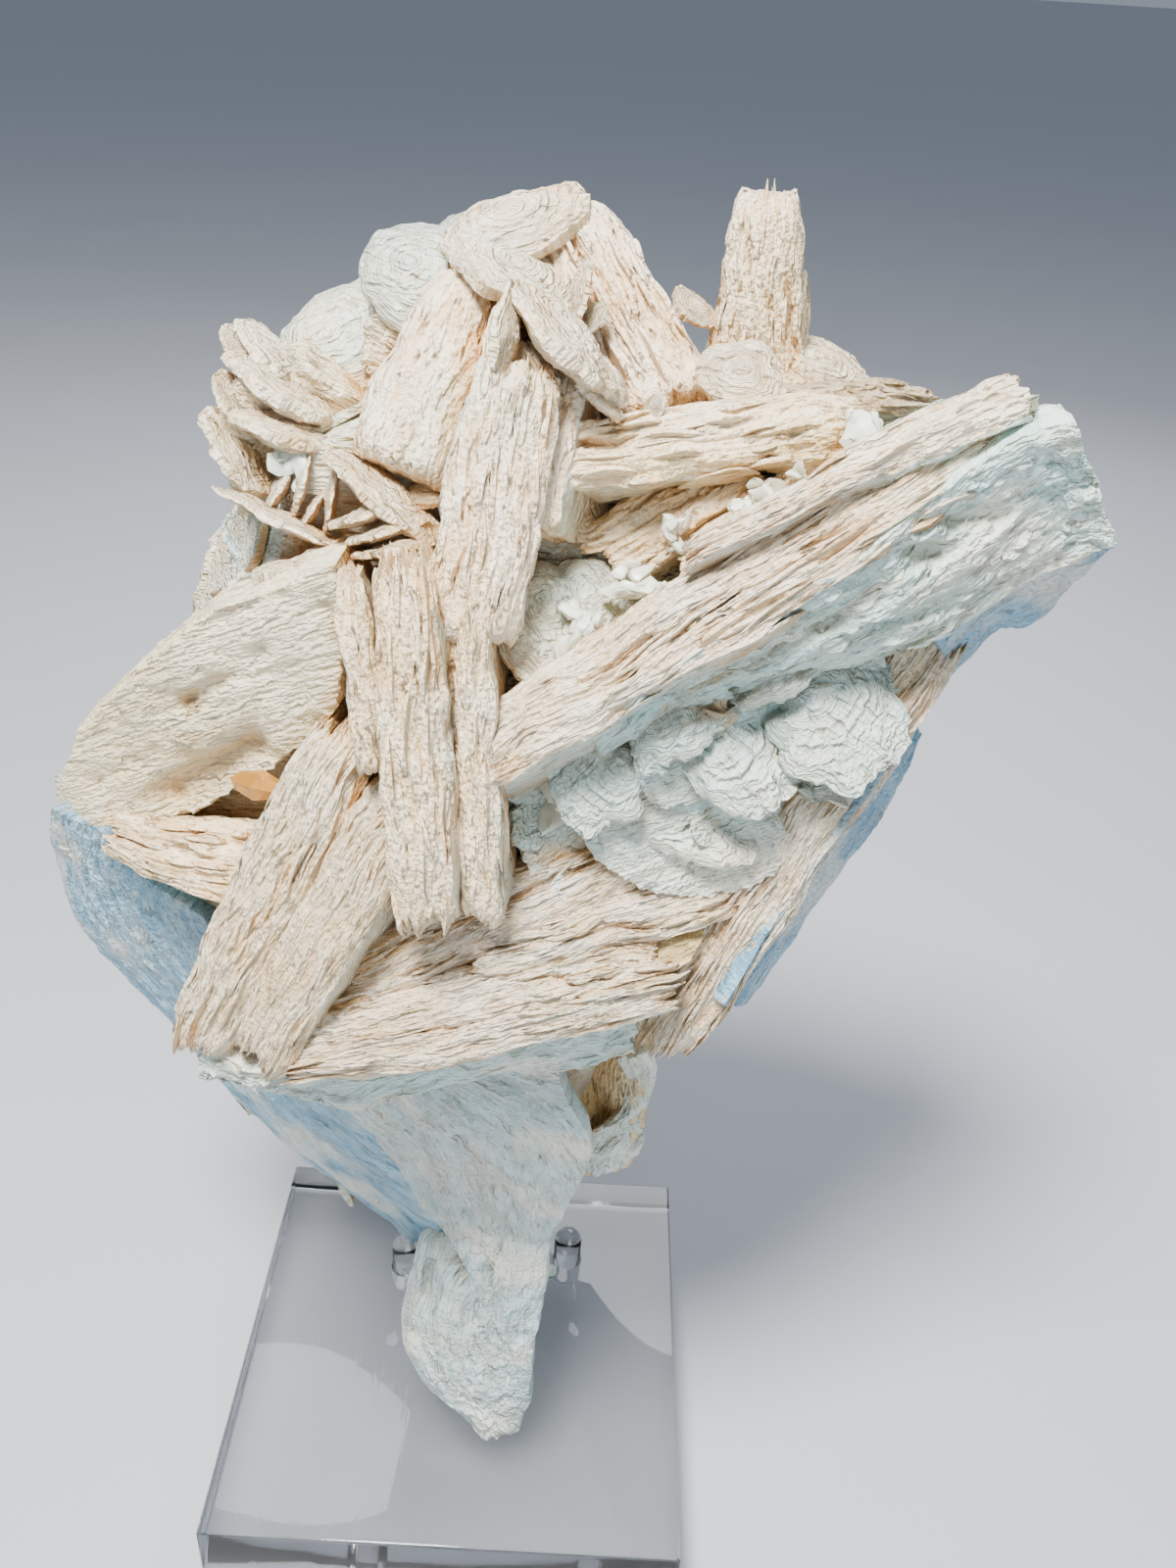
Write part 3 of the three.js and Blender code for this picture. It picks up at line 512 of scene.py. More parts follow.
def settled(thing):
    """A plain mesh of the object with its modifiers done. The object is removed."""
    ready = thing.evaluated_get(bpy.context.evaluated_depsgraph_get())
    mesh = bpy.data.meshes.new_from_object(ready)
    for modifier in list(thing.modifiers):
        thing.modifiers.remove(modifier)
    bpy.data.objects.remove(thing)
    return mesh


# The inputs of the trees, and the sizes in forms, that are lengths in millimetres
LENGTHS = ("length", "depth", "thickness", "ragged", "fissure", "bow", "relief", "flake", "spacing", "long",
           "short", "thick", "fibre", "radius")


def grown(tree, form, base=None):
    """The mesh that a tree makes with this form, from a base mesh where it takes one."""
    thing = thing_of(tree.name, base or bpy.data.meshes.new(tree.name))
    if "voxel" in form:
        remesh = thing.modifiers.new("even", "REMESH")
        remesh.mode = "VOXEL"
        remesh.voxel_size = form["voxel"] * MM
    modifier = thing.modifiers.new("grow", "NODES")
    modifier.node_group = tree
    for item in tree.interface.items_tree:
        key = item.name.lower()
        if item.in_out == "INPUT" and key in form:
            modifier[item.identifier] = form[key] * MM if key in LENGTHS else form[key]
    return settled(thing)


# A stack of plates seen on their edges: a closed body whose front is cut into fibres, flakes and
# fissures, with loose shards along its front and at its ends.
# Local frame: X along the stack, Y inward from the front edges, Z across the plates.
def plate_stack_tree():
    net, start = shape_tree("plate_stack", "Length Depth Thickness Splay Ragged Fissure Bow Tip Round",
                            "Columns Rows Layers Shards")
    length, depth, thickness = start["Length"], start["Depth"], start["Thickness"]
    ragged, salt = start["Ragged"], start["Seed"] * 0.137

    # the body
    body = net.block(start["Columns"], 9, start["Rows"])
    x, y, z = net.split(net.position())
    inward = (y + 0.5) ** 3.0
    near = (1.0 - inward) ** 6.0
    reach = (2.0 * x).abs()
    along, across = x * length, z * thickness
    long_layers = net.grain(x * 2.0, across * 170.0, salt, 2.0, 0.6)
    thin_layers = net.grain(x * 2.0, across * 700.0, inward * 2.0 + salt, 2.0, 0.7)
    jag = 0.5 * long_layers + 0.5 * thin_layers
    stretch = 1.0 - reach ** 4.0 * (jag - 0.46) * start["Tip"]
    fold = across + (net.noise(net.join(along, across * 0.4, salt), 42.0, 3.0) - 0.5) * 0.004
    flake = net.grain(along * 60.0, fold * 400.0, salt, 3.0, 0.6).terraced(6.0, 0.35)
    fibre = net.grain(along * 220.0, fold * 1300.0, salt + 3.0, 3.0, 0.65) - 0.5
    swell = net.grain(along * 30.0, across * 60.0, salt + 5.0, 2.0) - 0.5
    split = net.grain(along * 45.0, fold * 360.0, salt + 9.0, 2.0).rise(0.62, 0.72)
    rounding = thickness * (start["Round"] * (2.0 * z).abs() ** 3.0 + 0.16 * reach ** 14.0)
    front = (ragged * 2.4 * (flake - 0.5) + 0.0016 * fibre + 0.004 * swell + start["Fissure"] * split
             + rounding)
    side_line = net.grain(along * 80.0, inward * depth * 420.0, across * 90.0 + salt, 4.0, 0.65)
    crimp = (side_line - 0.5) * 0.0034
    body = net.keep(body, "gap", split * near + 0.25 * (1.0 - flake).rise(0.5, 0.8) * near)
    body = net.keep(body, "outer", 1.0)
    body = net.keep(body, "plate", fibre + 0.5)
    body = net.place(body, net.join((x * stretch + 0.5) * length, inward * depth + near * front,
                                    across + crimp))

    # one shard, thin at its front edge and ends
    shard = net.block(9, 3, 2)
    inward = (y + 0.5) ** 2.0
    end = (2.0 * x).abs() ** 2.5
    thin = (0.4 + 0.6 * inward) * (1.0 - 0.8 * end)
    shard = net.keep(shard, "outer", 0.0)
    shard = net.place(shard, net.join(x, inward + 0.85 * end * (1.0 - inward), z * thin))

    # the shards, in layers: their places, sizes and turns
    order = net.node("GeometryNodeInputIndex")[0]
    layers = start["Layers"]
    layer = (order / start["Shards"]).floor()
    share = net.random(0.12, 0.42, 2)
    middle = (1.1 - share) * net.random(-0.5, 0.5, 3)
    height = (((layer + 0.5) / layers - 0.5) * thickness * 0.98
              + thickness / layers * net.random(-0.5, 0.5, 6))
    bulge = start["Round"] * thickness * (2.0 * height / thickness).abs() ** 3.0
    spot = net.join((middle + 0.5) * length, ragged * net.random(-0.9, 0.3, 5) + bulge, height)
    size = net.join(share * length, net.random(0.002, 0.005, 12), net.random(0.0006, 0.0018, 8))
    turn = net.join(net.random(-0.3, 0.3, 9), net.random(-0.09, 0.09, 10), net.random(-0.03, 0.03, 11))
    shards = net.copies(net.place(net.points(layers * start["Shards"]), spot), shard, turn, size)
    x, y, z = net.split(net.position())
    loose = net.noise(net.join(x, z, net.read("plate") * 5.0), 170.0, 3.0, 0.6) - 0.5
    shards = net.place(shards, net.join(x, y + loose * ragged, z + loose * 0.001))

    # the lie of the fibres, then waves and the form of the whole stack
    whole = net.lay_fibres(net.together(body, shards), net.join(x, y, z + salt))
    wave = net.noise(net.join(x, y * 0.5, salt), 38.0, 2.0) - 0.5
    uneven = net.noise(net.join(x, y * 0.3, z * 2.0 + salt), 60.0, 2.0) - 0.5
    share = x / length - 0.5
    flare = (1.0 + start["Splay"] * share) * (1.0 - 0.14 * (2.0 * share).abs() ** 5.0)
    bow = start["Bow"] * (1.0 - 4.0 * share * share)
    bent = net.join(x, y + bow, z * flare + wave * 0.0024 + uneven * 0.0036)
    net.finish(net.place(whole, bent), start["Material"])
    return net.tree


# A broad plate whose face is cut into curved steps, whose rim shows its layers and on which flakes lie.
# Local frame: X along the fibres, Y across them, Z outward.
def stepped_face_tree():
    net, start = shape_tree("stepped_face", "Relief Steps Cell Cells Stretch Ragged Flake Spacing Lean")
    x, y, z = net.split(net.position())
    salt = start["Seed"] * 0.31
    shape = net.mark_broad(start["Shape"])
    facing = net.split(net.normal())[2].abs().rise(0.3, 0.8)
    here = net.join(x, y, salt)
    bent = net.vector("ADD", here, net.warp(here, 60.0, 0.014))
    dome = net.scales(bent, start["Cell"])
    long = net.noise(net.join(x / start["Stretch"], y, salt), 75.0, 4.0, 0.6)
    height = long + start["Cells"] * (dome - long)
    cut = height.terraced(start["Steps"], 0.3)
    fine = net.noise(net.join(x / start["Stretch"], y, salt + 2.0), 320.0, 3.0, 0.6) - 0.5
    lift = (cut - 0.5) * start["Relief"] + fine * 0.0011
    layer = net.noise(net.join(x * 0.06, y * 0.06, z), 900.0, 2.0, 0.6) - 0.5
    notch = net.noise(net.join(x, y, z * 0.4), 85.0, 3.0, 0.6) - 0.5
    rim = layer * start["Ragged"] + notch * start["Ragged"] * 1.6
    push = facing * lift + (1.0 - facing) * rim
    rough = net.shift(shape, net.scaled(net.normal(), push))
    rough = net.keep(rough, "plate", 0.5)

    up = net.split(net.normal())[2] > 0.6
    dots, flake = net.strewn(rough, up, start["Spacing"])
    lean = start["Lean"]
    turn = net.join(net.random(-0.1, 0.1, 1), lean * net.random(0.2, 1.0, 2), net.random(-0.7, 0.7, 3))
    girth = start["Flake"] * net.random(0.4, 1.15, 4)
    size = net.join(girth * 1.4, girth, net.random(0.0007, 0.0016, 5))
    flakes = net.copies(dots["Points"], flake, turn, size)
    flakes = net.shift(flakes, net.warp(net.position(), 130.0, 0.009, 3.0))
    net.finish(net.lay_fibres(net.together(rough, flakes)), start["Material"])
    return net.tree


# A curved surface with fibres that follow it, from a grid that carries its run, side and outward direction.
def running_sheet_tree():
    net, start = shape_tree("running_sheet", "Relief Ridges Steps Cell Cells Fissure Ragged")
    salt = start["Seed"] * 0.23
    run, side, front = net.read("run"), net.read("side"), net.read("front")
    fold = side + (net.noise(net.join(run, side * 0.5, salt), 40.0, 3.0) - 0.5) * 0.008
    ridge = net.grain(run * 24.0, fold * start["Ridges"], salt, 5.0, 0.65)
    swell = net.grain(run * 16.0, fold * 60.0, salt + 4.0, 2.0) - 0.5
    here = net.join(run * 0.6, fold, salt)
    scale = net.scales(net.vector("ADD", here, net.warp(here, 90.0, 0.008)), start["Cell"])
    fine = net.grain(run * 90.0, fold * 1300.0, salt + 2.0, 3.0, 0.6) - 0.5
    crest = net.grain(run * 26.0, fold * start["Ridges"] * 1.4, salt + 8.0, 2.0)
    crest = (1.0 - 9.0 * (crest - 0.5).abs()).at_least(0.0)
    gap = net.grain(run * 30.0, fold * 420.0, salt + 6.0, 2.0).rise(0.64, 0.72)
    mixed = (ridge + start["Cells"] * (scale - ridge) - 0.5) * 1.8 + 0.5
    cut = mixed.terraced(start["Steps"], 0.4) - 0.5
    lift = start["Relief"] * cut + 0.003 * swell + 0.0012 * fine + 0.0004 * crest - start["Fissure"] * gap
    shape = net.keep(start["Shape"], "gap", gap * front)
    shape = net.keep(net.keep(shape, "broad", 1.0, domain="FACE"), "plate", 0.5)
    shape = net.lay_fibres(net.keep(shape, "outer", 1.0), net.join(run, side, salt))
    shape = net.shift(shape, net.scaled(net.read("out", "FLOAT_VECTOR"), lift * front))
    shape = net.shift(shape, net.warp(net.position(), 160.0, start["Ragged"], 3.0))
    net.finish(shape, start["Material"])
    return net.tree


# A blade with a round scalloped rim, whose layers end in arcs one inside the other.
# Local frame: X along its length, Y across it, Z through it.
def tablet_tree():
    net, start = shape_tree("tablet", "Long Short Thick Steps Scallop Fibre Hinge", "Rings")
    salt = start["Seed"] * 0.41
    disc = {"Vertices": 64, "Side Segments": 2, "Fill Segments": start["Rings"], "Radius": 1.0,
            "Depth": 1.0}
    shape = net.node("GeometryNodeMeshCylinder", {"fill_type": "TRIANGLE_FAN"}, disc)["Mesh"]
    shape = net.mark_broad(shape)
    x, y, z = net.split(net.position())
    radius = (x * x + y * y) ** 0.5
    round_x, round_y = x / radius.at_least(0.001), y / radius.at_least(0.001)
    rim = net.grain(round_x * 1.2, round_y * 1.2, salt, 5.0, 0.7) - 0.5
    wide = 1.0 + start["Scallop"] * rim * radius * radius
    long, short = x * wide * start["Long"], y * wide * start["Short"]
    here = net.join(long, short, salt)
    drift = net.noise(here, 170.0, 4.0, 0.65) - 0.5
    hinge = start["Hinge"] * (1.0 - radius ** 4.0)
    reach = ((x + hinge) ** 2.0 + y * y) ** 0.5 / (1.0 + hinge)
    inside = (1.0 - reach + 0.85 * drift * radius).at_least(0.0).at_most(1.0)
    layered = (inside * (1.0 + 0.35 * x)).terraced(start["Steps"], 0.2)
    domed_height = 0.16 + 0.55 * layered ** 0.8 + 0.32 * inside ** 0.7
    # the fibres curve with the distance from the hinge and with the place along the blade
    fan = (x + start["Hinge"] + 0.001).arctan2(0.5)
    fibre = net.grain(reach * 4.0, fan * 9.0, salt + 1.0, 4.0, 0.65) - 0.5
    wave = net.noise(net.join(long, short, salt + 3.0), 85.0, 2.0) - 0.5
    height = z * (domed_height * start["Thick"] + fibre * start["Fibre"] * 2.0) + wave * start["Thick"] * 0.6
    rough = net.lay_fibres(net.keep(shape, "outer", 0.0), here)
    rough = net.keep(net.keep(net.keep(rough, "plate", 0.5), "gap", 0.0), "ring", inside)
    rough = net.place(rough, net.join(long, short, height))
    rough = net.shift(rough, net.warp(net.position(), 230.0, 0.0016, 4.0))
    net.finish(rough, start["Material"])
    return net.tree


# The skin of the massive part: curved steps with flat flakes lying on it.
def scaled_skin_tree():
    net, start = shape_tree("scaled_skin", "Spacing Flake Stretch Relief Cell Lean", vectors="Grain")
    place = net.position()
    bent = net.vector("ADD", place, net.warp(place, 45.0, 0.016))
    dome = net.scales(bent, start["Cell"])
    cut = (0.5 * dome + 0.5 * net.noise(place, 55.0, 4.0)).terraced(7.0, 0.3) - 0.5
    rough = net.shift(start["Shape"], net.scaled(net.normal(), cut * start["Relief"]))
    rough = net.keep(net.keep(rough, "broad", 1.0, domain="FACE"), "plate", 0.5)

    # no flakes on the front, where the pieces cover it, but for its upper right part
    level, depth, height = net.split(place)
    bare = (depth < -0.012) * (1.0 - (level > 0.01) * (height > 0.21))
    dots, flake = net.strewn(rough, bare < 0.5, start["Spacing"])
    turn = net.node("FunctionNodeAlignRotationToVector", {"axis": "Z"}, {"Vector": dots["Normal"]})[0]
    turn = net.node("FunctionNodeAlignRotationToVector", {"axis": "X", "pivot_axis": "Z"},
                    {"Rotation": turn, "Vector": start["Grain"]})[0]
    lean = start["Lean"]
    tilt = net.join(net.random(-0.12, 0.12, 1), lean * net.random(0.1, 1.0, 2), net.random(-0.6, 0.6, 3))
    turn = net.node("FunctionNodeRotateRotation", {"rotation_space": "LOCAL"}, {0: turn, 1: tilt})[0]
    girth = start["Flake"] * net.random(0.4, 1.2, 4)
    size = net.join(girth * start["Stretch"], girth, net.random(0.0008, 0.0018, 5))
    flakes = net.copies(dots["Points"], flake, turn, size)
    flakes = net.shift(flakes, net.warp(net.position(), 150.0, 0.006, 3.0))
    net.finish(net.lay_fibres(net.together(rough, flakes)), start["Material"])
    return net.tree


# Small round crystals: tablets that cross each other.
def rosette_tree():
    net, start = shape_tree("rosette", "Radius", "Tablets")
    radius = start["Radius"]
    tablet = net.node("GeometryNodeMeshUVSphere", None, {"Segments": 10, "Rings": 6, "Radius": 1.0})["Mesh"]
    tablet = net.keep(tablet, "broad", 1.0, domain="FACE")
    spot = net.join(radius * net.random(-0.5, 0.5, 1), radius * net.random(-0.5, 0.5, 2),
                    radius * net.random(-0.3, 0.3, 3))
    points = net.place(net.points(start["Tablets"]), spot)
    turn = net.join(net.random(-1.2, 1.2, 4), net.random(-1.2, 1.2, 5), net.random(0.0, 6.28, 6))
    girth = radius * net.random(0.16, 0.6, 7)
    size = net.join(girth, girth * net.random(0.6, 1.0, 8), radius * net.random(0.10, 0.24, 9))
    real = net.copies(points, tablet, turn, size)
    real = net.shift(real, net.warp(net.position(), 300.0, 0.004))
    net.finish(net.lay_fibres(real), start["Material"])
    return net.tree


# Colours of the calcite. SLATE and ICE are painted bluish shade for the undersides, and TAN also serves as
# painted shade in crevices.
CREAM = (0.85, 0.59, 0.33, 1.0)
CHALK = (0.98, 0.88, 0.70, 1.0)
PEACH = (0.86, 0.54, 0.35, 1.0)
HONEY = (0.82, 0.60, 0.25, 1.0)
SAGE = (0.42, 0.64, 0.60, 1.0)
MINT = (0.58, 0.90, 0.88, 1.0)
SLATE = (0.13, 0.29, 0.42, 1.0)
ICE = (0.36, 0.63, 0.80, 1.0)
TAN = (0.58, 0.31, 0.10, 1.0)
RUST = (0.70, 0.34, 0.08, 1.0)


def shader(name):
    """A new material, its tree and the place on the object."""
    material = bpy.data.materials.new(name)
    material.use_nodes = True
    material.node_tree.nodes.clear()
    net = Net(material.node_tree)
    return material, net, net.node("ShaderNodeTexCoord")["Object"]


def close_shader(net, values, height=None, depth=0.0, strength=1.0):
    """Ends the tree with a principled shader, bumped by a height where there is one."""
    if height:
        inputs = {"Strength": strength, "Distance": depth, "Height": height}
        values["Normal"] = net.node("ShaderNodeBump", None, inputs)[0]
    coat = net.node("ShaderNodeBsdfPrincipled", None, values)
    net.node("ShaderNodeOutputMaterial", None, {"Surface": coat[0]})


def attribute(net, name, key="Fac"):
    """What the mesh carries under this name."""
    return net.node("ShaderNodeAttribute", {"attribute_name": name}, None)[key]


def calcite_finish():
    """Cream plate edges, pale green broad faces, painted bluish shade on the undersides, tan hollows that are
    partly painted shade and partly iron staining, painted highlight on fibre crests, and a few rusty stains.
    """
    material, net, place = shader("calcite")
    lie = attribute(net, "lie", "Vector")
    broad, crevice, gap, outer, pale, tone, plate, ring = (attribute(net, name) for name in (
        "broad", "crevice", "gap", "outer", "pale", "tone", "plate", "ring"))
    # A tone above 0 paints bluish shade, as falls on undersides turned away from the key light; below 0 it is
    # a warm honey tint.
    cool_shade, warm = tone.at_least(0.0), (0.0 - tone).at_least(0.0)

    def streaks(factors, detail, roughness=0.5):
        """Noise that is drawn out along the fibres."""
        return net.noise(net.vector("MULTIPLY", lie, factors), 1.0, detail, roughness)

    fibre = streaks((90.0, 340.0, 460.0), 4.0, 0.65)
    hair = streaks((420.0, 1700.0, 2400.0), 1.0, 0.6)
    dash = streaks((170.0, 700.0, 1000.0), 1.0).rise(0.60, 0.72)
    vein = streaks((60.0, 200.0, 300.0), 2.0).rise(0.56, 0.72)
    # Thin raised lines along the fibres. The colour also uses them as painted highlight on the crests.
    thread = (1.0 - 10.0 * (streaks((80.0, 420.0, 560.0), 2.0, 0.6) - 0.5).abs()).at_least(0.0)
    cloud = net.noise(place, 26.0, 2.0)
    patch = net.noise(place, 60.0, 3.0, 0.6)
    grain = net.noise(place, 1300.0, 1.0)
    scale = net.scales(net.vector("ADD", place, net.warp(place, 120.0, 0.006)), 110.0)
    arc = (net.grain(ring * 16.0, patch * 6.0, 0.0, 2.0, 0.6) - 0.5) * ring.rise(0.0, 0.02)
    mixed = 0.6 * fibre + 0.25 * patch + 0.15 * hair + 0.5 * arc
    colour = net.blend((mixed - 0.40) * 4.5, CREAM, CHALK)
    colour = net.blend((1.0 - mixed.rise(0.36, 0.48)) * 0.38, colour, TAN)
    colour = net.blend(patch.rise(0.5, 0.75) * 0.3, colour, PEACH)
    green = net.blend((mixed - 0.34) * 3.0, SAGE, MINT)
    # Painted shade: SLATE to ICE stands in for the bluish shade on the undersides.
    shade_blue = net.blend((mixed - 0.45) * 4.0, SLATE, ICE)
    mint = (0.1 + 0.5 * outer) * broad + 0.85 * pale + 1.4 * (cloud - 0.5)
    colour = net.blend(mint.at_least(0.0) * 0.85, colour, green)
    colour = net.blend(cool_shade * 0.95, colour, shade_blue)
    colour = net.blend(warm * (0.5 + patch), colour, HONEY)
    # Tan in crevices and fissures: partly painted shade where other parts close them in, partly iron
    # staining.
    crevice_shade_and_stain = (0.7 * crevice + 0.4 * gap).at_most(1.0) * (1.0 - 0.55 * pale) * (1.0 - 0.8 * cool_shade)
    colour = net.blend(crevice_shade_and_stain * 0.8, colour, TAN)
    # Whiter patches at random, kept out of the crevices.
    whiter_patch = net.noise(place, 45.0, 2.0).rise(0.52, 0.66) * (1.0 - crevice)
    # Painted highlight: thin whiter lines along the raised fibre crests, kept out of the crevices.
    colour = net.blend(whiter_patch * 0.45 + thread * 0.2 * (1.0 - crevice), colour, CHALK)
    stain = patch.rise(0.52, 0.68) * crevice.rise(0.1, 0.5) * (1.0 - 0.9 * cool_shade)
    colour = net.blend(stain * 0.6 + vein * 0.25 * (1.0 - cool_shade) * (1.0 - 0.5 * pale), colour, RUST)
    colour = net.blend(dash * 0.35 * (1.0 - pale) + (plate - 0.5) * 0.1, colour, TAN)
    height = (fibre * 1.3 + hair * 0.5 - dash * 0.7 + thread * 0.25) * (1.0 - 0.5 * pale) + 0.6 * pale * scale
    close_shader(net, {
        "Base Color": colour, "Roughness": 0.42 + 0.3 * fibre, "IOR": 1.5,
        "Subsurface Weight": 0.1, "Subsurface Radius": (0.004, 0.0022, 0.001), "Subsurface Scale": 1.0,
    }, height + 0.35 * grain + 1.1 * arc, 0.0018)
    return material


def rosette_finish():
    """Whiter, glossier small crystals."""
    material, net, place = shader("calcite_rosette")
    cloud = net.noise(place, 300.0, 3.0)
    colour = net.blend(cloud.rise(0.35, 0.65), (0.84, 0.90, 0.82, 1.0), (0.62, 0.71, 0.60, 1.0))
    # Tan in crevices: painted shade, partly iron staining as on the rest of the cluster.
    colour = net.blend(attribute(net, "crevice") * 0.35, colour, TAN)
    close_shader(net, {
        "Base Color": colour, "Roughness": 0.22 + 0.3 * cloud, "IOR": 1.55,
        "Subsurface Weight": 0.2, "Subsurface Radius": (0.004, 0.004, 0.003), "Subsurface Scale": 1.0,
    }, cloud, 0.0004, 0.4)
    return material


def amber_finish():
    material, net, place = shader("amber_crystal")
    cloud = net.noise(place, 500.0, 3.0)
    colour = net.blend(cloud, (0.55, 0.22, 0.02, 1.0), (0.80, 0.45, 0.08, 1.0))
    close_shader(net, {
        "Base Color": colour, "Roughness": 0.08 + 0.15 * cloud, "Transmission Weight": 0.6, "IOR": 1.6,
    }, cloud, 0.0003, 0.3)
    return material


def acrylic_finish():
    """Clear, with faint handling marks that show in the gloss."""
    material, net, place = shader("clear_acrylic")
    smear = net.noise(place, 40.0, 4.0).rise(0.5, 0.75)
    scratch = net.noise(net.vector("MULTIPLY", place, (900.0, 60.0, 60.0)), 1.0, 2.0).rise(0.62, 0.7)
    close_shader(net, {
        "Base Color": (0.985, 0.99, 0.995, 1.0), "Roughness": 0.01 + 0.05 * smear,
        "Transmission Weight": 1.0, "IOR": 1.49,
    }, scratch, 0.0001, 0.05)
    return material


def floor_finish():
    material, net, place = shader("floor")
    cloud = net.noise(place, 6.0, 3.0)
    colour = net.blend(cloud, (0.46, 0.48, 0.52, 1.0), (0.50, 0.52, 0.56, 1.0))
    close_shader(net, {"Base Color": colour, "Roughness": 0.55 + 0.1 * cloud})
    return material


# How deep inside the cluster a place is: the massive form, sampled and blurred
CELL = 1.5 * MM
MARGIN = 12


def filled_cells(node):
    """Cells of a grid that lie inside a closed mesh, with the grid's low corner."""
    shape = bmesh.new()
    shape.from_mesh(node.data)
    bmesh.ops.remove_doubles(shape, verts=shape.verts, dist=1e-6)
    tree = BVHTree.FromBMesh(shape)
    shape.free()
    low, high = (np.array(corner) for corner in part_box(node.name))
    low = low - MARGIN * CELL
    counts = np.ceil((high - low) / CELL).astype(int) + MARGIN
    inside = np.zeros(counts, np.float32)
    for i in range(counts[0]):
        for k in range(counts[2]):
            x, z = low[0] + (i + 0.51) * CELL, low[2] + (k + 0.53) * CELL
            y, crossings = low[1], []
            while True:
                hit = tree.ray_cast(Vector((x, y, z)), Vector((0, 1, 0)))[0]
                if hit is None:
                    break
                crossings.append(hit.y)
                y = hit.y + 1e-5
            for enter, leave in zip(crossings[::2], crossings[1::2]):
                first, last = (int(round((at - low[1]) / CELL)) for at in (enter, leave))
                inside[i, first:last, k] = 1.0
    return inside, low


def blurred(field, reach):
    """A box blur, twice over, of about this reach in cells."""
    for _ in range(2):
        for axis in range(3):
            margin = [(reach + 1, reach) if a == axis else (0, 0) for a in range(3)]
            total = np.cumsum(np.pad(field, margin, mode="edge"), axis=axis)
            size = field.shape[axis]
            upper = np.take(total, range(2 * reach + 1, 2 * reach + 1 + size), axis=axis)
            lower = np.take(total, range(size), axis=axis)
            field = (upper - lower) / (2 * reach + 1)
    return field


def sampled(field, low, places):
    """Trilinear values of the field at places."""
    spot = (places - low) / CELL - 0.5
    spot = np.clip(spot, 0, np.array(field.shape) - 1.001)
    base = spot.astype(int)
    part = spot - base
    total = np.zeros(len(places))
    for corner in range(8):
        step = np.array([corner & 1, corner >> 1 & 1, corner >> 2 & 1])
        share = np.prod(np.where(step, part, 1 - part), axis=1)
        cell = base + step
        total += share * field[cell[:, 0], cell[:, 1], cell[:, 2]]
    return total


INSIDE, GRID_LOW = filled_cells(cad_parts["calcite_cluster"])
CLOSE_IN, FAR_IN = blurred(INSIDE, 2), blurred(INSIDE, 5)


def points_of(mesh):
    """The places and outward directions of the mesh's points."""
    places, outward = (np.zeros(len(mesh.vertices) * 3) for _ in range(2))
    mesh.vertices.foreach_get("co", places)
    mesh.vertex_normals.foreach_get("vector", outward)
    return places.reshape(-1, 3), outward.reshape(-1, 3)


def mark(mesh, name, values):
    """Gives each point of the mesh a number or a vector under this name."""
    kind, field = ("FLOAT", "value") if values.ndim == 1 else ("FLOAT_VECTOR", "vector")
    mesh.attributes.new(name, kind, "POINT").data.foreach_set(field, values.astype(np.float32).reshape(-1))


def mark_crevices(mesh):
    """Marks how much of the massive form lies close in front of each point, and further out. The shader
    paints shade and iron staining into the crevices from it.
    """
    places, outward = points_of(mesh)
    close = sampled(CLOSE_IN, GRID_LOW, places + outward * 3.5 * MM)
    far = sampled(FAR_IN, GRID_LOW, places + outward * 7 * MM)
    mark(mesh, "crevice", np.clip(0.9 * (close - 0.22) / 0.5 + 0.9 * (far - 0.22) / 0.45, 0, 1))


def placed(mesh, matrix, form):
    """The mesh at its place, with how pale it is, and its tone: painted bluish shade above 0, a warm tint
    below 0.
    """
    mesh.transform(matrix)
    for name in ("pale", "tone"):
        mark(mesh, name, np.full(len(mesh.vertices), form[name]))
    return mesh


def press_dents(mesh, dents):
    """Presses fissures and hollows into the mesh, whatever the depth they lie at, and marks them."""
    toward = np.array(TOWARD_CAMERA)
    places, outward = points_of(mesh)
    gap = np.zeros(len(mesh.vertices), np.float32)
    mesh.attributes["gap"].data.foreach_get("value", gap)
    for _, start, end, width, depth in dents:
        start, axis = np.array(start) * MM, (np.array(end) - np.array(start)) * MM
        share = np.clip((places - start) @ axis / (axis @ axis), 0, 1)
        away = places - start - share[:, None] * axis
        level = away @ toward
        away = away - level[:, None] * toward
        near = np.exp(-(away ** 2).sum(axis=1) / (width * MM) ** 2) * (np.abs(level) < DENT_REACH)
        places -= outward * (near * depth * MM)[:, None]
        gap = np.maximum(gap, near)
    mesh.vertices.foreach_set("co", places.reshape(-1))
    mesh.attributes["gap"].data.foreach_set("value", gap.astype(np.float32))
    mesh.update()


def lift_off_block(mesh):
    """No point of the specimen goes below its level on the block."""
    for vertex in mesh.vertices:
        vertex.co.z = max(vertex.co.z, FOOT_LEVEL * MM)


def piece(name, meshes):
    """One piece of the specimen from several meshes."""
    things = [thing_of(name, mesh) for mesh in meshes]
    with bpy.context.temp_override(active_object=things[0], object=things[0],
                                   selected_objects=things, selected_editable_objects=things):
        bpy.ops.object.join()
    whole = things[0]
    dents = [row for row in DENTS if row[0] == name]
    if dents:
        press_dents(whole.data, dents)
    lift_off_block(whole.data)
    whole.data.shade_smooth()
    whole.data.set_sharp_from_angle(angle=STONE_EDGE_ANGLE)
    mark_crevices(whole.data)
    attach(whole, "root")
    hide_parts("calcite_cluster")


def frame_of(x_axis, y_axis, z_axis, origin):
    """The frame with these axes at an origin in millimetres."""
    return Matrix.Translation(Vector(origin) * MM) @ Matrix((x_axis, y_axis, z_axis)).transposed().to_4x4()


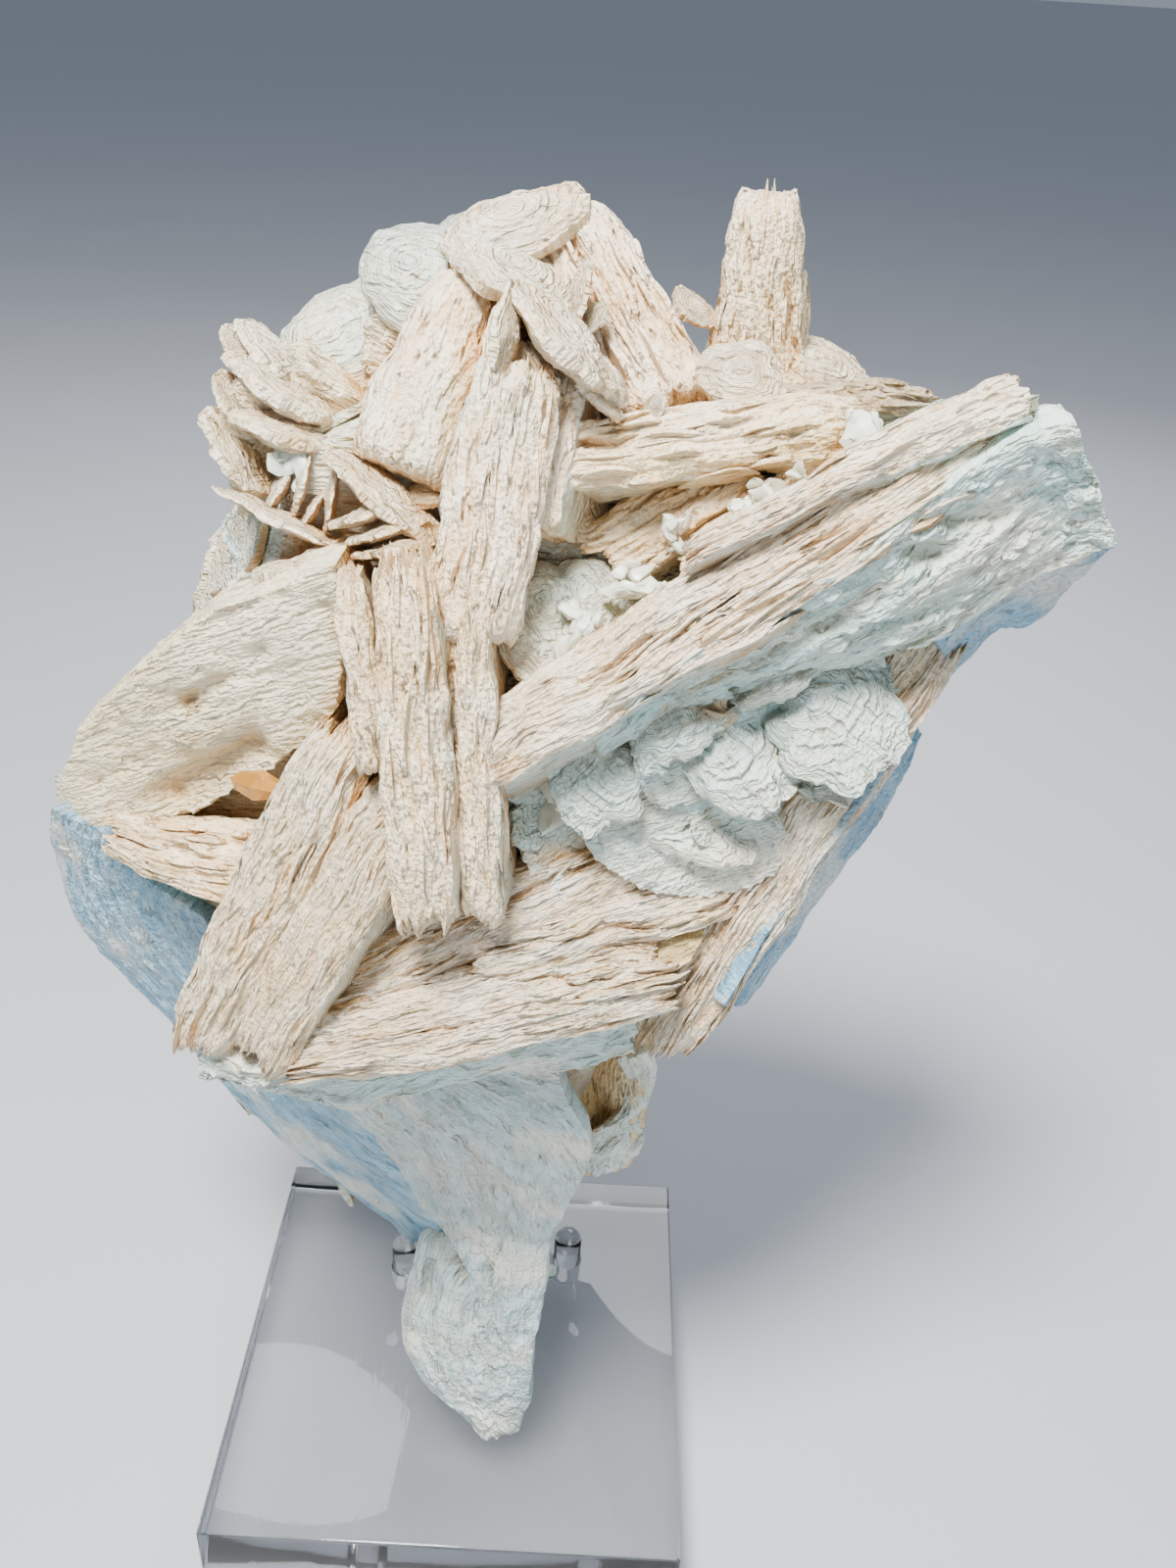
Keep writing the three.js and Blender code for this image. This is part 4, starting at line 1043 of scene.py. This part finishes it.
def outward_mesh(shape, mesh):
    """Writes a bmesh to the mesh, with its faces looking outward."""
    bmesh.ops.recalc_face_normals(shape, faces=shape.faces)
    shape.to_mesh(mesh)
    shape.free()
    return mesh


def skinned(name, rings):
    """A closed mesh through rings of points in millimetres. A ring of one point is a tip."""
    shape = bmesh.new()
    rings = [[shape.verts.new([number * MM for number in point]) for point in ring] for ring in rings]
    for end in (rings[0], rings[-1][::-1]):
        if len(end) > 1:
            shape.faces.new(end)
    count = max(len(ring) for ring in rings)
    for near, far in zip(rings, rings[1:]):
        for i in range(count):
            j = (i + 1) % count
            corners = [near[i % len(near)], far[i % len(far)], far[j % len(far)], near[j % len(near)]]
            shape.faces.new(list(dict.fromkeys(corners)))
    return outward_mesh(shape, bpy.data.meshes.new(name))


def form_of(forms, name, **sizes):
    """What is usual for its kind, then what its own row says, then these sizes."""
    return {**forms["usual"], **forms.get(name, {}), **sizes}


def standing_at(at, facing):
    """The frame at a place whose Z looks that way."""
    turn = Vector((0, 0, 1)).rotation_difference(Vector(facing)).to_matrix().to_4x4()
    return Matrix.Translation(Vector(at) * MM) @ turn


# One mesh for each row of a table, in place, from its tree and its form
def stack_mesh(row, seed, material, tree):
    name, start, end, back, thick, wide = row
    along = Vector(end) - Vector(start)
    length = along.length
    along.normalize()
    inward = Vector(back)
    inward = (inward - along * inward.dot(along)).normalized()
    cell = BACK_STACK_CELL if name.startswith("back_") else STACK_CELL
    form = form_of(STACK_FORM, name, length=length, depth=wide, thickness=thick,
                   columns=round(length / cell) + 2, rows=round(thick / cell * FINER_ACROSS) + 2,
                   layers=max(2, round(thick / SHARD_LAYER)), shards=max(2, round(length / SHARD_STEP)),
                   seed=seed * 200, material=material)
    return placed(grown(tree, form), frame_of(along, inward, along.cross(inward), start), form)


def face_mesh(row, seed, material, tree):
    name, at, lean, thick, outline = row
    form = form_of(FACE_FORM, name, seed=seed, material=material)
    corners = [Vector((x, at[1] + lean[0] * (x - at[0]) + lean[1] * (z - at[2]), z)) for x, z in outline]
    outward = Vector((lean[0], -1, lean[1])).normalized()
    middle = sum(corners, Vector()) / len(corners)
    angle = math.radians(form["grain"])
    grain = Vector((math.cos(angle), 0, math.sin(angle)))
    grain = (grain - outward * grain.dot(outward)).normalized()
    across = outward.cross(grain)
    flat = [((corner - middle).dot(grain), (corner - middle).dot(across)) for corner in corners]
    base = skinned(name, [[(x, y, level) for x, y in flat] for level in (0, -thick)])
    return placed(grown(tree, form, base), frame_of(grain, across, outward, middle), form)


def smooth_through(points, share):
    """A point of the smooth curve through the points, with share from 0 to 1 along it."""
    at = share * (len(points) - 1)
    first = min(int(at), len(points) - 2)
    t = at - first
    a, b, c, d = (points[min(max(first + step, 0), len(points) - 1)] for step in (-1, 0, 1, 2))
    bend, twist = 2 * a - 5 * b + 4 * c - d, 3 * b - a - 3 * c + d
    return 0.5 * (2 * b + (c - a) * t + bend * t ** 2 + twist * t ** 3)


def sheet_grid(rows, thick, bulge):
    """A closed mesh on the rows, whose points carry their run along it, side across it and way outward."""
    left, right = (np.array([row[edge] for row in rows], float) * MM for edge in (0, 1))
    length = np.linalg.norm(np.diff((left + right) / 2, axis=0), axis=1).sum()
    width = np.linalg.norm(left - right, axis=1).max()
    lines, columns = (max(6, int(size / SHEET_CELL)) for size in (length, width))
    shares = np.linspace(0, 1, lines)
    one, other = (np.array([smooth_through(edge, share) for share in shares]) for edge in (left, right))
    across = np.linspace(0, 1, columns)[None, :, None]
    front = one[:, None] * (1 - across) + other[:, None] * across
    out = np.cross(np.gradient(front, axis=0), np.gradient(front, axis=1))
    out /= np.linalg.norm(out, axis=2, keepdims=True)
    out *= -np.sign(out[..., 1:2].mean())
    arch = (4 * across * (1 - across)) * np.ones((lines, 1, 1))
    front = front + out * arch * bulge * MM
    back = front - out * thick * MM * (0.15 + 0.85 * arch ** 0.5)
    number = np.arange(lines * columns).reshape(lines, columns)
    low = number + lines * columns
    quads = []
    for i in range(lines - 1):
        for j in range(columns - 1):
            quads.append((number[i, j], number[i, j + 1], number[i + 1, j + 1], number[i + 1, j]))
            quads.append((low[i, j], low[i + 1, j], low[i + 1, j + 1], low[i, j + 1]))
    rim = [*number[0], *number[1:, -1], *number[-1, -2::-1], *number[-2:0:-1, 0]]
    for a, b in zip(rim, rim[1:] + rim[:1]):
        quads.append((b, a, a + lines * columns, b + lines * columns))
    mesh = bpy.data.meshes.new("sheet")
    places = np.concatenate([front.reshape(-1, 3), back.reshape(-1, 3)])
    mesh.from_pydata(places.tolist(), [], [[int(corner) for corner in quad] for quad in quads])
    shape = bmesh.new()
    shape.from_mesh(mesh)
    outward_mesh(shape, mesh)
    run = np.repeat(shares * length, columns)
    side = (np.linalg.norm(other - one, axis=1)[:, None] * across[0, :, 0]).reshape(-1)
    edge = (arch[..., 0] ** 0.4).reshape(-1)
    mark(mesh, "run", np.tile(run, 2))
    mark(mesh, "side", np.tile(side, 2))
    mark(mesh, "front", np.concatenate([0.25 + 0.75 * edge, edge * 0]))
    mark(mesh, "out", np.tile(out.reshape(-1, 3), (2, 1)))
    return mesh


def sheet_mesh(row, seed, material, tree):
    name, thick, rows = row
    form = form_of(SHEET_FORM, name, seed=seed, material=material)
    return placed(grown(tree, form, sheet_grid(rows, thick, form["bulge"])), Matrix.Identity(4), form)


def tablet_mesh(row, seed, material, tree):
    name, middle, long, short, thick, slope, turn = row
    form = form_of(TABLET_FORM, name.split("_")[0], long=long, short=short, thick=thick, seed=seed,
                   material=material)
    slope, turn = math.radians(slope), math.radians(turn)
    level, toward = Vector((1, 0, 0)), Vector(TOWARD_CAMERA)
    upward = toward.cross(level)
    along = level * math.cos(slope) + upward * math.sin(slope)
    facing = toward * math.cos(turn) + toward.cross(along) * math.sin(turn)
    return placed(grown(tree, form), frame_of(along, facing.cross(along), facing, middle), form)


def core_mesh(material, tree):
    base = skinned("core", [[(x, y, z) for x, z in outline] for y, outline in CORE])
    return placed(grown(tree, {**CORE_FORM, "material": material}, base), Matrix.Identity(4), CORE_FORM)


def rosette_mesh(row, seed, material, tree):
    at, facing, radius = row
    form = {**ROSETTE_FORM, "radius": radius, "seed": 900 + seed * 50, "material": material}
    return placed(grown(tree, form), standing_at(at, facing), form)


# How each form differs from what is usual for its kind. Pale goes from plate edges to broad faces. Tone above
# 0 paints bluish shade, as on undersides, and below 0 a warm tint. Lengths are in millimetres, and cell and
# ridges are counts to the metre.
STACK_FORM = {
    "usual": {"splay": 0.1, "ragged": 0.8, "fissure": 1.4, "bow": -0.8, "tip": 0.6, "round": 0.17,
              "pale": 0.0, "tone": 0.0},
    "left_diagonal_outer": {"tone": -0.25}, "left_diagonal_inner": {"tone": -0.2},
    "upright_left": {"tone": -0.2}, "upright_right": {"tone": -0.2},
    "flap": {"pale": 0.1, "round": 0.1, "tone": -0.7},
    "left_fan": {"splay": -0.7, "tip": 0.9, "ragged": 1.2, "fissure": 2.0, "round": 0.1, "tone": -0.25},
    "slanting_bundle": {"splay": 0.5, "ragged": 0.4, "fissure": 0.5, "round": 0.3, "tip": 0.2},
    "lone_column": {"splay": 0.55, "round": 0.15, "tip": 0.2, "tone": -0.2},
    "upper_upright": {"ragged": 0.8, "fissure": 1.1},
    "upper_spike": {"splay": 0.9, "fissure": 0.5}, "side_spike": {"splay": 0.4, "fissure": 0.5},
    "top_diagonal": {"splay": 0.3, "ragged": 1.0}, "upper_strand": {"splay": 0.8, "ragged": 1.0},
    "level_bundle": {"fissure": 2.2, "ragged": 1.0, "tone": -0.3},
    "slanting_pair": {"fissure": 1.6, "tone": -0.2, "splay": 0.3},
    "slanting_low": {"fissure": 1.6, "tone": -0.2, "splay": 0.3},
    "upright_middle": {"fissure": 2.4, "tip": 0.9, "ragged": 1.0, "tone": -0.2},
    "upright_back": {"tone": -0.6},
    "slanting_third": {"fissure": 0.8, "splay": 0.5}, "slanting_near": {"fissure": 0.8, "splay": -0.5},
    "deep_slant": {"fissure": 2.0, "tone": -0.3},
}
FACE_FORM = {
    "usual": {"relief": 3.0, "steps": 7.0, "cell": 60.0, "cells": 0.2, "stretch": 3.0, "ragged": 2.0,
              "flake": 5, "spacing": 14, "lean": 0.12, "voxel": 0.9, "grain": 0, "pale": 0.7, "tone": 0.0},
    "left_face": {"grain": 25, "cells": 0.4, "cell": 90, "pale": 0.6, "ragged": 1.2, "relief": 4.5,
                  "steps": 9, "flake": 6, "tone": -0.5},
    "petal_bed": {"grain": 20, "cells": 0.85, "cell": 75, "relief": 6, "steps": 14, "pale": 0.8, "flake": 7,
                  "spacing": 11, "lean": 0.2, "voxel": 0.7},
    "heel": {"grain": -80, "cells": 0.3, "pale": 0.9},
    "flap_root": {"grain": -85, "pale": 0.2, "tone": -0.8},
    "dome_bed": {"cells": 0.9, "cell": 90, "pale": 0.8, "relief": 4, "flake": 6, "spacing": 9, "lean": 0.2},
    "nook_bed": {"grain": 30, "pale": 0.8, "tone": 0.1, "relief": 5, "cells": 0.8, "cell": 120, "flake": 4,
                 "spacing": 5, "lean": 0.6},
    "recess_bed": {"grain": 35, "pale": 0.2, "tone": -0.6, "relief": 4, "flake": 5, "spacing": 8,
                   "lean": 0.4},
    "corner_bed": {"cells": 0.8, "cell": 110, "pale": 0.1, "relief": 6, "grain": -35, "spacing": 7,
                   "lean": 0.4, "tone": -0.2},
    "top_bed": {"cells": 0.8, "cell": 90, "pale": 0.4, "relief": 5, "grain": -30, "spacing": 8, "lean": 0.3,
                "tone": -0.15},
}
SHEET_FORM = {
    "usual": {"relief": 2.0, "ridges": 150.0, "steps": 7.0, "cell": 110.0, "cells": 0.2, "fissure": 0.8,
              "ragged": 1.5, "bulge": 0.5, "pale": 0.9, "tone": 0.0},
    "left_skin": {"relief": 2.2, "bulge": 1.5, "tone": 0.95, "fissure": 0.5, "ridges": 230.0},
    "leg_sheet": {"relief": 3.0, "bulge": 2.0, "tone": 0.42, "fissure": 0.8, "ridges": 190.0, "steps": 6.0,
                  "pale": 0.7},
    "leg": {"relief": 4.0, "bulge": 3.0, "tone": 0.45, "fissure": 0.5, "ridges": 150.0, "cells": 0.7,
            "cell": 85.0, "steps": 5.0, "ragged": 2.5},
    "pale_lip": {"relief": 3.5, "bulge": 1.0, "tone": 0.2, "pale": 0.3, "ragged": 5.0, "fissure": 1.5,
                 "ridges": 200.0},
    "right_face": {"relief": 4.2, "ridges": 130.0, "pale": 0.3, "steps": 8.0, "cells": 0.55, "cell": 120.0,
                   "fissure": 1.6, "ragged": 3.0},
    "flap_rim": {"relief": 1.5, "tone": 0.1, "pale": 0.7, "bulge": 0.5, "ragged": 3.0},
    "right_flank": {"relief": 1.2, "tone": 1.0, "ridges": 250.0},
    "lower_flank": {"relief": 1.0, "tone": 1.0, "bulge": 0.0},
}
# By the first word of the blade's name
TABLET_FORM = {
    "usual": {"steps": 5.0, "scallop": 0.5, "fibre": 0.5, "hinge": 0.0, "rings": 12, "pale": 0.1,
              "tone": -0.15},
    "petal": {"steps": 6.0, "scallop": 1.2, "fibre": 0.8, "pale": 0.8, "tone": 0.05, "hinge": 0.6,
              "rings": 18},
    "dome": {"steps": 5.0, "scallop": 0.4, "fibre": 0.3, "pale": 0.8, "tone": 0.0, "hinge": 0.3, "rings": 16},
    "disc": {"steps": 4.0, "scallop": 0.4, "fibre": 0.3, "pale": 0.8, "tone": 0.0, "hinge": 0.3},
    "edge": {"pale": 0.8, "tone": 0.2}, "crown": {"pale": 0.35, "scallop": 0.6},
    "arch": {"pale": 0.4, "scallop": 0.6}, "fan": {"steps": 6.0, "scallop": 0.6, "fibre": 0.8},
    "recess": {"pale": 0.2, "tone": -0.4}, "foot": {"tone": -0.9},
    "cross": {"fibre": 0.8}, "comb": {"fibre": 0.8}, "ledge": {"fibre": 0.8},
}
CORE_FORM = {"spacing": 8, "flake": 6, "stretch": 1.5, "relief": 3, "cell": 50.0, "lean": 0.12,
             "grain": (0.75, 0.0, 0.65), "voxel": 2.2, "seed": 5, "pale": 0.4, "tone": 0.0}
ROSETTE_FORM = {"tablets": 9, "pale": 0.0, "tone": 0.0}
# The pieces: which stacks, faces, sheets and blades each one is made of
PIECES = {
    "front_bars": ["long_bar", "upper_strand", "right_lower", "right_back_edge", "right_face", "right_flank",
                   "lower_flank"],
    "low_bundles": ["foot_", "bottom_front", "bottom_middle", "bottom_top", "pale_lip"],
    "left_bundles": ["left_diagonal_outer", "left_diagonal_inner", "left_fan", "left_face"],
    "upright_bundle": ["upright_left", "upright_middle", "upright_back", "upright_right", "upper_upright",
                       "upper_spike", "side_spike"],
    "petals": ["petal_bed", "nook_bed", "dome_bed", "petal_", "dome_"],
    "left_skin": ["left_skin"],
    "leg_plates": ["leg_sheet", "flap", "flap_rim", "leg", "heel", "flap_root"],
    "top_bundles": ["top_diagonal", "slanting_bundle", "level_bundle", "far_level_bundle", "slanting_pair",
                    "slanting_low", "slanting_third", "slanting_near", "deep_slant", "lone_column"],
    "top_blades": ["top_bed", "recess_bed", "gap_", "disc_", "crown", "arch", "chevron_", "small_", "far_",
                   "recess_"],
    "corner_blades": ["corner_bed", "fan_", "spear", "edge_", "cross_", "comb_", "ledge", "knob", "tuft_"],
    "back_bundles": ["back_bar", "back_cross", "back_right", "back_level", "back_top", "back_crest",
                     "back_low", "back_foot"],
}


def in_piece(name, members):
    """A member is a whole name, or the start of a blade's name."""
    return name in members or any(member.endswith("_") and name.startswith(member) for member in members)


def lathe(profile, at, segments=48):
    """A closed turned shape from [radius, height] pairs that start and end on the axis."""
    turns = [2 * math.pi * step / segments for step in range(segments)]
    return skinned("lathe", [
        [(at[0] + radius * math.cos(turn), at[1] + radius * math.sin(turn), height)
         for turn in (turns if radius else turns[:1])]
        for radius, height in profile])


def domed(radius, bottom, top):
    """The profile of a round peg with a half ball on top."""
    curve = [(radius * math.cos(step * math.pi / 20), top - radius + radius * math.sin(step * math.pi / 20))
             for step in range(10)]
    return [(0, bottom), (radius, bottom), *curve, (0, top)]


def stand(material):
    """The clear block with its drilled holes, and its pegs."""
    bottom = BLOCK_HEIGHT - PEG_DEPTH
    shape = bmesh.new()
    bmesh.ops.create_cube(shape, size=1.0)
    for vertex in shape.verts:
        vertex.co.x *= BLOCK_SIDE * MM
        vertex.co.y *= BLOCK_SIDE * MM
        vertex.co.z = (vertex.co.z + 0.5) * BLOCK_HEIGHT * MM
    bmesh.ops.bevel(shape, geom=list(shape.edges), offset=BLOCK_EDGE_BREAK * MM, segments=3, profile=0.5,
                    affect="EDGES")
    block = thing_of("clear_block", outward_mesh(shape, bpy.data.meshes.new("clear_block")))
    tools = []
    for at in PEGS.values():
        radius = PEG_DIAMETER / 2 + FIT_GAP
        drill = thing_of("drill", lathe([(0, bottom - FIT_GAP), (radius, bottom - FIT_GAP),
                                         (radius, BLOCK_HEIGHT + 5), (0, BLOCK_HEIGHT + 5)], at))
        cut = block.modifiers.new("hole", "BOOLEAN")
        cut.operation = "DIFFERENCE"
        cut.solver = "EXACT"
        cut.object = drill
        tools.append(drill)
    whole = settled(block)
    for drill in tools:
        bpy.data.objects.remove(drill)
    clear_piece("clear_block", whole, "stand_slab", material)
    for node, at in PEGS.items():
        peg = lathe(domed(PEG_DIAMETER / 2, bottom, BLOCK_HEIGHT + PEG_RISE), at)
        clear_piece("clear_" + node, peg, node, material)


def clear_piece(name, mesh, node, material):
    """One piece of the stand."""
    mesh.materials.clear()
    mesh.materials.append(material)
    mesh.shade_smooth()
    mesh.set_sharp_from_angle(angle=CLEAR_EDGE_ANGLE)
    thing = thing_of(name, mesh)
    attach(thing, "root")
    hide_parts(node)


def build_specimen():
    """Every piece of the calcite. A row's number in the tables is its seed."""
    calcite, white = calcite_finish(), rosette_finish()
    kinds = [(STACKS, stack_mesh, plate_stack_tree()), (FACES, face_mesh, stepped_face_tree()),
             (SHEETS, sheet_mesh, running_sheet_tree()), (TABLETS, tablet_mesh, tablet_tree())]
    seeds = {row[0]: index + 1 for index, row in enumerate(STACKS + FACES + SHEETS + TABLETS)}
    for name, members in PIECES.items():
        meshes = [make(row, seeds[row[0]], calcite, tree)
                  for rows, make, tree in kinds for row in rows if in_piece(row[0], members)]
        piece(name, meshes)
    piece("massive_part", [core_mesh(calcite, scaled_skin_tree())])
    rosettes = rosette_tree()
    piece("rosettes", [rosette_mesh(row, seed, white, rosettes) for seed, row in enumerate(DISCS)])


def amber_crystal():
    """The one amber crystal, pointed at both ends."""
    at, facing, length, girth = (-28, -38, 196), (1, -0.2, -0.1), 9, 5
    half, radius = length / 2, girth / 2
    profile = [(0, -half), (radius * 0.6, -half * 0.7), (radius, 0), (radius * 0.6, half * 0.7), (0, half)]
    mesh = lathe(profile, (0, 0), 6)
    mesh.materials.append(amber_finish())
    mesh.transform(standing_at(at, facing))
    mesh.shade_flat()
    thing = thing_of("amber_crystal", mesh)
    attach(thing, "root")
    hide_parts("calcite_cluster")


def place_camera():
    """The camera that the photo was taken with: how it looks, level, then rolled."""
    forward = Vector((math.sin(YAW_RIGHT) * math.cos(PITCH_DOWN), math.cos(YAW_RIGHT) * math.cos(PITCH_DOWN),
                      -math.sin(PITCH_DOWN)))
    level = Vector((math.cos(YAW_RIGHT), -math.sin(YAW_RIGHT), 0))
    upright = level.cross(forward)
    right = level * math.cos(ROLL) + upright * math.sin(ROLL)
    up = upright * math.cos(ROLL) - level * math.sin(ROLL)
    camera = thing_of("camera", bpy.data.cameras.new("camera"))
    camera.data.sensor_width = SENSOR
    camera.data.lens = LENS
    camera.data.clip_start = 0.01
    camera.matrix_world = Matrix.Translation(EYE) @ frame_of(right, up, -forward, (0, 0, 0))
    bpy.context.scene.camera = camera


def soft_light(name, place, size, power, colour):
    """A round soft light that looks at the specimen."""
    light = bpy.data.lights.new(name, "AREA")
    light.shape = "DISK"
    light.size = size
    light.energy = power
    light.color = colour
    thing = thing_of(name, light)
    thing.location = place
    thing.rotation_euler = (Vector(LIGHT_AIM) - Vector(place)).to_track_quat("-Z", "Y").to_euler()


def studio():
    """A plain pale floor, a dim sky and three soft lights."""
    floor = thing_of("floor", bpy.data.meshes.new("floor"))
    corners = [(-FLOOR_REACH, -FLOOR_REACH), (FLOOR_REACH, -FLOOR_REACH), (FLOOR_REACH, FLOOR_REACH),
               (-FLOOR_REACH, FLOOR_REACH)]
    floor.data.from_pydata([(x, y, FLOOR_LEVEL * MM) for x, y in corners], [], [(0, 1, 2, 3)])
    floor.data.materials.append(floor_finish())
    world = bpy.data.worlds.new("studio")
    world.use_nodes = True
    sky = world.node_tree.nodes["Background"].inputs
    sky[0].default_value = (0.72, 0.83, 1.0, 1.0)
    sky[1].default_value = 0.36
    bpy.context.scene.world = world
    soft_light("key", (-0.14, -0.34, 0.92), 0.26, 27.0, (1.0, 0.97, 0.92))
    soft_light("fill", (0.25, -0.9, 0.22), 0.6, 2.4, (0.76, 0.89, 1.0))
    soft_light("rim", (0.2, 0.7, 0.6), 0.5, 4.0, (0.95, 0.97, 1.0))


place_camera()
stand(acrylic_finish())
build_specimen()
amber_crystal()
studio()
